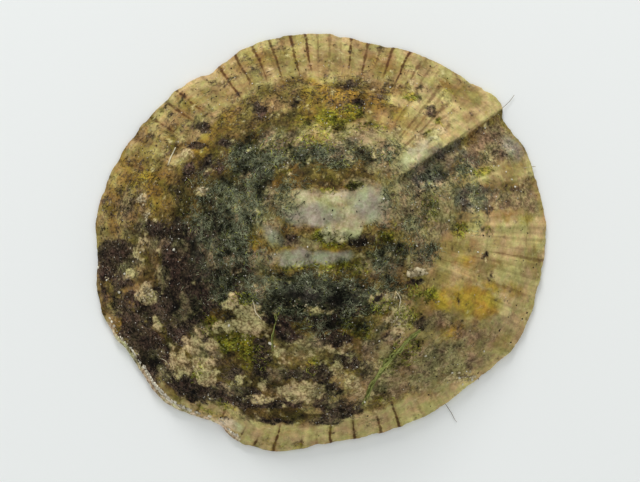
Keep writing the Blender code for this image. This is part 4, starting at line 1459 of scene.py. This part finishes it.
FELT_TUFTS = 1.1 * MM
felt_finish = matter("felt_grey_green", (0.010, 0.012, 0.007, 1.0), (0.31, 0.33, 0.195, 1.0))
felt_patchiness = 0.2 + smoothstep(-0.25, 0.35, deep_noise_at(form / FELT_TUFTS, 4))
# Few threads grow on thick soot, on the blue-grey film and on the crust, and none on the worn summit.
thin_soot = 1.0 - 0.92 * buried
bare_slate = 1.0 - 0.55 * np.clip(growths["blue_grey"], 0.0, 1.0)
off_crust = 1.0 - 0.85 * crust
felt_depth = np.clip(growths["felt"], 0.0, 1.0) ** 1.5
felt_amount = thin_soot * bare_slate * felt_depth * (1.0 - worn) * off_crust * felt_patchiness
strewn_threads("felt_threads", felt_finish, felt_amount, FELT_THREADS, 0.36 * MM, 0.022 * MM, 0.12, 0.7, 45.0)
strewn_threads("felt_fluff", felt_finish, felt_amount, FELT_THREADS, 0.24 * MM, 0.020 * MM, 0.18, 0.8, 80.0)

# %% Brown fuzz and moss
fuzz_finish = matter("fuzz_brown", (0.014, 0.009, 0.008, 1.0), (0.19, 0.14, 0.10, 1.0))
left_side = smoothstep(30.0, 80.0, np.abs((outside_bearing + 180.0) % 360.0 - 180.0))
fuzz_ground = 0.15 + np.clip(growths["soot_and_shade"] + growths["ochre"], 0.0, 1.0)
fuzz_amount = thin_soot * margin * left_side * (1.0 - growths["chalk"]) * fuzz_ground
fuzz_amount = np.clip(fuzz_amount * (1.0 - growths["cream"]) * off_crust, 0.0, 1.0)
strewn_threads("fuzz", fuzz_finish, fuzz_amount, FUZZ_THREADS, 0.26 * MM, 0.022 * MM, 0.16, 0.6, 70.0)
moss_finish = matter("moss_green", (0.050, 0.055, 0.006, 1.0), (0.42, 0.44, 0.07, 1.0))
moss_amount = np.clip(growths["green"] - 0.35, 0.0, 1.0) * (1.0 - 0.8 * worn) + 0.12 * felt_amount
strewn_threads("moss", moss_finish, moss_amount, MOSS_BLADES, 0.22 * MM, 0.030 * MM, 0.25, 0.6, 90.0)

# %% [markdown]
# ## Dust, sand and crumbs
#
# Pale mineral dust is caught all over the felt and in the pits, and shows as bright specks, which also
# stand in for the glints of wet spots: a painted highlight. A few larger grains of sand and crumbs of crust
# lie loose on top.

# %% Dust and sand, the pale specks partly painted glints
DUST_AND_GLINT_GRAINS, DARK_GRAINS = 3400, 2400
GRAIN_SHAPES = 12
MOSTLY_SMALL = 2.5  # the higher, the fewer grains are large


def strewn_grains(name, finish, amount, count, smallest, largest, sink=0.25):
    """Grains between two sizes, strewn where amount is large. sink is the share of a grain in the skin."""
    templates = [crumb(dice, 0.2, 0) for _ in range(GRAIN_SHAPES)]
    spots = spots_on(amount, count)
    sizes = smallest + (largest - smallest) * surface_rng.uniform(0.0, 1.0, count) ** MOSTLY_SMALL
    frames = frames_at(spots, surface_rng.uniform(0.0, 360.0, count), sizes)
    places = skin[spots] + normals[spots] * (sizes * (0.5 - sink))[:, None]
    return joined(name, finish, templates, places, frames, surface_rng.uniform(0.0, 1.0, count), smooth=False)


# Painted highlight, in part: the pale grains are dust and also stand in for the glints of wet spots.
dust_and_glint_finish = matter(
    "pale_dust_and_glints", (0.11, 0.09, 0.06, 1.0), (0.68, 0.64, 0.54, 1.0), 0.7, specular=0.2, cloudiness=0.2
)
dust_and_glint_amount = 0.05 + crusty * (1.0 - worn) * (0.4 + 0.6 * thin_soot) + 0.3 * crust
strewn_grains("dust_and_glint_grains", dust_and_glint_finish, dust_and_glint_amount, DUST_AND_GLINT_GRAINS, 0.030 * MM, 0.11 * MM)
dark_finish = matter("dust_dark", (0.010, 0.008, 0.006, 1.0), (0.09, 0.06, 0.04, 1.0), 0.8)
strewn_grains("dark_grains", dark_finish, 0.05 + 0.5 * crusty, DARK_GRAINS, 0.04 * MM, 0.16 * MM)

# %% [markdown]
# ## What was laid down one by one
#
# The largest bodies on the shell are few enough to list one by one: a strand of green alga, some straw-like
# fibres, crumbs of crust and single grains. Each is given by the pixel where it shows. Flakes are strewn
# along the rim where it has broken.

# %% From a pixel to the shell
seen_skin = pixels_of(skin)


def spots_seen_at(pixels):
    """The points of the outside that show nearest to these pixels."""
    nearest = [np.argmin(((seen_skin - pixel) ** 2).sum(axis=1)) for pixel in np.asarray(pixels, float)]
    return np.array(nearest)


def laid(name, finish, templates, items, rise=0.25, smooth=False):
    """A copy of a template at each item: (pixels across, pixels down, size in mm, tone)."""
    across, down, sizes, tones = np.array(items, float).T
    spots = spots_seen_at(np.stack([across, down], axis=1))
    frames = frames_at(spots, surface_rng.uniform(0.0, 360.0, len(spots)), sizes * MM)
    places = skin[spots] + normals[spots] * (sizes * MM * rise)[:, None]
    return joined(name, finish, templates, places, frames, tones, smooth)


# %% Grains, and heaps of crumbs as (pixels across, pixels down, half width, half height, count, size in mm)
PALE_GRAINS = (
    (471, 172, 0.22, 0.9), (515, 187, 0.20, 0.9), (478, 252, 0.18, 0.8), (484, 351, 0.20, 0.7),
    (390, 87, 0.16, 0.8), (383, 199, 0.18, 0.9), (229, 325, 0.20, 0.9), (425, 355, 0.18, 0.8),
    (357, 366, 0.14, 0.8), (377, 330, 0.16, 0.9), (379, 341, 0.16, 0.8), (452, 372, 0.20, 0.7),
    (459, 377, 0.26, 0.8), (466, 371, 0.18, 0.7), (472, 379, 0.24, 0.6), (478, 374, 0.16, 0.7),
    (463, 384, 0.18, 0.8), (271, 343, 0.28, 0.8), (365, 401, 0.22, 1.0), (107, 280, 0.18, 0.9),
    (99, 267, 0.26, 0.8), (141, 252, 0.16, 0.9), (175, 250, 0.26, 0.7), (125, 274, 0.22, 0.6),
    (120, 293, 0.24, 0.5), (505, 172, 0.14, 0.7), (511, 180, 0.16, 0.8), (520, 192, 0.14, 0.7),
    (498, 166, 0.16, 0.6), (341, 196, 0.12, 0.9), (210, 399, 0.14, 1.0), (161, 368, 0.12, 1.0),
    (308, 246, 0.14, 0.9), (449, 221, 0.14, 0.7), (416, 246, 0.16, 0.7),
)
DARK_SPOTS_AND_SHADOW = (
    (527, 313, 0.20, 0.1), (522, 319, 0.16, 0.2), (532, 311, 0.12, 0.1), (499, 331, 0.20, 0.0),
    (418, 347, 0.22, 0.0), (368, 416, 0.20, 0.0), (293, 78, 0.18, 0.1), (280, 77, 0.16, 0.2),
    (333, 210, 0.14, 0.0), (324, 219, 0.16, 0.0), (423, 341, 0.16, 0.1), (384, 392, 0.22, 0.0),
    (108, 229, 0.14, 0.0), (488, 256, 0.14, 0.5), (482, 258, 0.12, 0.5), (377, 299, 0.55, 0.3),
    # (413, 281) and (421, 280) are painted shadow: dark grains laid where the crumbs above them shade the
    # shell.
    (381, 296, 0.30, 0.5), (374, 302, 0.28, 0.4), (413, 281, 0.30, 0.0), (421, 280, 0.34, 0.0),
)
HEAPS = (
    (413, 273, 7, 4, 20, 0.50), (422, 271, 5, 3, 12, 0.44), (142, 199, 4, 6, 18, 0.30),
    (203, 190, 5, 2, 14, 0.26), (148, 216, 4, 3, 10, 0.24), (146, 292, 8, 7, 26, 0.28),
    (438, 303, 2, 2, 4, 0.18), (466, 377, 12, 5, 20, 0.30), (108, 279, 2, 2, 5, 0.16),
    (396, 300, 8, 8, 12, 0.18), (302, 306, 16, 3, 12, 0.16), (396, 321, 10, 8, 26, 0.24),
)
CRUMB_SHAPES, CRUMB_ROUGHNESS = 9, 0.40
crumbs = [crumb(dice, CRUMB_ROUGHNESS) for _ in range(CRUMB_SHAPES)]
grain_finish = matter("grain_pale", (0.22, 0.19, 0.13, 1.0), (0.70, 0.66, 0.54, 1.0), 0.6, cloudiness=0.2)
laid("pale_grains", grain_finish, crumbs, PALE_GRAINS)
laid("dark_spots_and_shadow", dark_finish, crumbs, DARK_SPOTS_AND_SHADOW, rise=0.05)
crumb_finish = matter(
    "crumb_beige", (0.20, 0.155, 0.08, 1.0), (0.58, 0.49, 0.31, 1.0), grain=0.2 * MM, cloudiness=0.0
)


def crumb_in(across, down, wide, high, size):
    """One crumb of a heap. Most crumbs lie near its middle."""
    across += wide * dice.gauss(0.0, 0.5)
    down += high * dice.gauss(0.0, 0.5)
    return across, down, size * dice.uniform(0.4, 1.1), dice.random()


heaped = [
    crumb_in(across, down, wide, high, size)
    for across, down, wide, high, count, size in HEAPS
    for _ in range(count)
]
laid("crumbs", crumb_finish, crumbs, heaped, rise=0.12)

# %% Flakes along the broken rim
FLAKE_COUNT, FLAKE_SHAPES = 230, 10
FLAKE_CORNERS, FLAKE_THICKNESS = 9, 0.2
FLAKES_FROM = 0.95
SMALLEST_FLAKE, LARGEST_FLAKE = 0.07, 0.26  # mm


def flake():
    """A thin plate about one unit across, with a ragged outline."""
    mesh = bmesh.new()
    bmesh.ops.create_circle(mesh, cap_ends=True, segments=FLAKE_CORNERS, radius=0.5)
    for vert in mesh.verts:
        vert.co *= dice.uniform(0.55, 1.1)
    made = bmesh.ops.extrude_face_region(mesh, geom=mesh.faces[:])["geom"]
    top = [part for part in made if isinstance(part, bmesh.types.BMVert)]
    bmesh.ops.translate(mesh, verts=top, vec=(0.0, 0.0, FLAKE_THICKNESS))
    axis = (dice.uniform(-1.0, 1.0), dice.uniform(-1.0, 1.0), 0.2)
    tilt = Quaternion(axis, math.radians(dice.uniform(5.0, 60.0))).to_matrix()
    bmesh.ops.rotate(mesh, verts=mesh.verts, cent=(0.0, 0.0, FLAKE_THICKNESS / 2.0), matrix=tilt)
    return shape_of(mesh)


def strewn_flakes():
    spots = spots_on(np.clip(growths["chalk"], 0.0, 1.0) * (outside_place > FLAKES_FROM), FLAKE_COUNT)
    sizes = surface_rng.uniform(SMALLEST_FLAKE, LARGEST_FLAKE, FLAKE_COUNT) * MM
    frames = frames_at(spots, surface_rng.uniform(0.0, 360.0, FLAKE_COUNT), sizes)
    tones = surface_rng.uniform(0.3, 1.0, FLAKE_COUNT)
    flakes = [flake() for _ in range(FLAKE_SHAPES)]
    return joined("rim_flakes", flake_finish, flakes, skin[spots], frames, tones, smooth=False)


flake_finish = matter(
    "flake_chalk", (0.20, 0.15, 0.09, 1.0), (0.78, 0.72, 0.58, 1.0), grain=0.2 * MM, cloudiness=0.3
)
strewn_flakes()

# %% Strands and fibres
STRAND_STEP, STRAY_SIZE = 2.5, 9.0  # pixels between a strand's points, and how far apart its bends are
STRAND_SIDES = 5


def strand(pixels, thickness, lift, stray=0.0):
    """A thread over the shell, through these pixels. Beyond the rim it hangs free."""
    corners = np.array(pixels, float)
    legs = np.concatenate([[0.0], np.cumsum(np.linalg.norm(np.diff(corners, axis=0), axis=1))])
    steps = np.linspace(0.0, legs[-1], max(3, int(legs[-1] / STRAND_STEP)))
    track = np.stack([np.interp(steps, legs, corners[:, axis]) for axis in (0, 1)], axis=1)
    bends = [[noise.noise((step / STRAY_SIZE, stray, 7.0 * axis)) for axis in (0, 1)] for step in steps]
    track += stray * np.array(bends)
    spots = spots_seen_at(track)
    path = skin[spots] + normals[spots] * lift
    path[:, :2] += (track - pixels_of(path)) * (PIXEL, -PIXEL)
    path[1:-1] = (path[:-2] + 2.0 * path[1:-1] + path[2:]) / 4.0
    taper = 0.35 + 0.65 * np.sin(np.pi * (np.arange(len(path)) + 0.5) / len(path)) ** 0.5
    return tube([Vector(point) for point in path], thickness / 2.0 * taper, STRAND_SIDES)


def bundle(name, finish, strands):
    """Strands as one piece: (pixels, thickness in mm, lift in mm, stray in pixels, tone) each."""
    places, triangles, tones, start = [], [], [], 0
    for pixels, thickness, lift, stray, tone in strands:
        shape, faces = strand(pixels, thickness * MM, lift * MM, stray)
        places.append(shape)
        triangles.append(faces + start)
        tones.append(np.full(len(shape), tone))
        start += len(shape)
    data = bpy.data.meshes.new(name)
    mesh_from_columns(data, np.concatenate(places), np.concatenate(triangles))
    store(data, "tone", np.concatenate(tones))
    data.shade_smooth()
    return piece(data, finish)


# The green strand is a twist of fine ones that don't all start and end together. The filament is thinner.
GREEN_STRAND = (
    (362, 404), (366, 397), (370, 389), (378, 375), (388, 362), (394, 355), (403, 345),
    (413, 336), (420, 331),
)
GREEN_FILAMENT = ((274, 314), (276, 322), (274, 331), (272, 342), (273, 353))
STRANDS_IN_TWIST, STRANDS_IN_FILAMENT = 9, 3


def twisted(number):
    """One strand of the twist: its pixels, thickness, lift, stray and tone."""
    pixels = GREEN_STRAND[number % 3 : len(GREEN_STRAND) - number // 3 % 2]
    thickness = dice.uniform(0.09, 0.13)
    return pixels, thickness, 0.03 + 0.015 * (number % 3), 2.2 + 0.5 * number, dice.random()


green_strands = [twisted(number) for number in range(STRANDS_IN_TWIST)]
for number in range(STRANDS_IN_FILAMENT):
    green_strands.append((GREEN_FILAMENT, 0.05, 0.05, 3.0 + number, 0.4 * number))
green_finish = matter(
    "strand_green", (0.090, 0.100, 0.020, 1.0), (0.36, 0.38, 0.11, 1.0), 0.6, cloudiness=0.3
)
bundle("green_strands", green_finish, green_strands)

# %% Straw-like fibres
STRAW_FIBRES = (
    (((167, 166), (171, 158), (176, 148)), 0.10, 0.06, 1.5, 0.9),
    (((157, 357), (163, 358), (169, 363)), 0.04, 0.05, 4.0, 0.6),
    (((500, 110), (506, 105), (511, 100), (514, 95)), 0.035, 0.03, 1.0, 0.3),
    (((524, 168), (531, 167), (536, 166)), 0.045, 0.05, 1.0, 0.6),
    (((443, 400), (450, 411), (457, 422)), 0.035, 0.03, 2.0, 0.1),
    (((396, 292), (402, 301), (399, 308)), 0.05, 0.10, 3.0, 0.7),
    (((252, 300), (256, 312), (262, 320)), 0.05, 0.10, 3.0, 0.8),
)
straw_finish = matter("fibre_straw", (0.12, 0.09, 0.05, 1.0), (0.70, 0.62, 0.42, 1.0), 0.6, cloudiness=0.2)
bundle("straw_fibres", straw_finish, STRAW_FIBRES)

# %% [markdown]
# ## Table and light
#
# The shell stands on plain white card under a soft, cloudy light. A low window behind it gives over a
# quarter of the light, brings out the ribs and lays a pale shadow along the near side of the rim.

# %% The table
TABLE_SIZE = 0.6
WHITE_CARD = (0.86, 0.87, 0.86, 1.0)


def make_table():
    mesh = bmesh.new()
    bmesh.ops.create_grid(mesh, x_segments=1, y_segments=1, size=TABLE_SIZE / 2)
    data = bpy.data.meshes.new("table")
    mesh.to_mesh(data)
    mesh.free()
    material, _, surface = new_material("white_card")
    surface.inputs["Base Color"].default_value = WHITE_CARD
    surface.inputs["Roughness"].default_value = 0.9
    data.materials.append(material)
    table = bpy.data.objects.new("table", data)
    bpy.context.scene.collection.objects.link(table)
    return table


print(make_table().name, "is", TABLE_SIZE, "m wide")

# %% The light
SKY = (0.97, 1.0, 1.0, 1.0)
SKY_STRENGTH = 0.70
WINDOW_PLACE = Vector((-0.043, 0.300, 0.185))
WINDOW_SIZE = 0.12
WINDOW_POWER = 0.66

world = bpy.data.worlds.new("cloudy")
world.use_nodes = True
world.node_tree.nodes["Background"].inputs["Color"].default_value = SKY
world.node_tree.nodes["Background"].inputs["Strength"].default_value = SKY_STRENGTH
bpy.context.scene.world = world

window_light = bpy.data.lights.new("window", "AREA")
window_light.size = WINDOW_SIZE
window_light.energy = WINDOW_POWER
window = bpy.data.objects.new("window", window_light)
window.location = WINDOW_PLACE
window.rotation_euler = (-WINDOW_PLACE).to_track_quat("-Z", "Y").to_euler()
bpy.context.scene.collection.objects.link(window)
print("the window is", round(WINDOW_PLACE.length, 2), "m away")
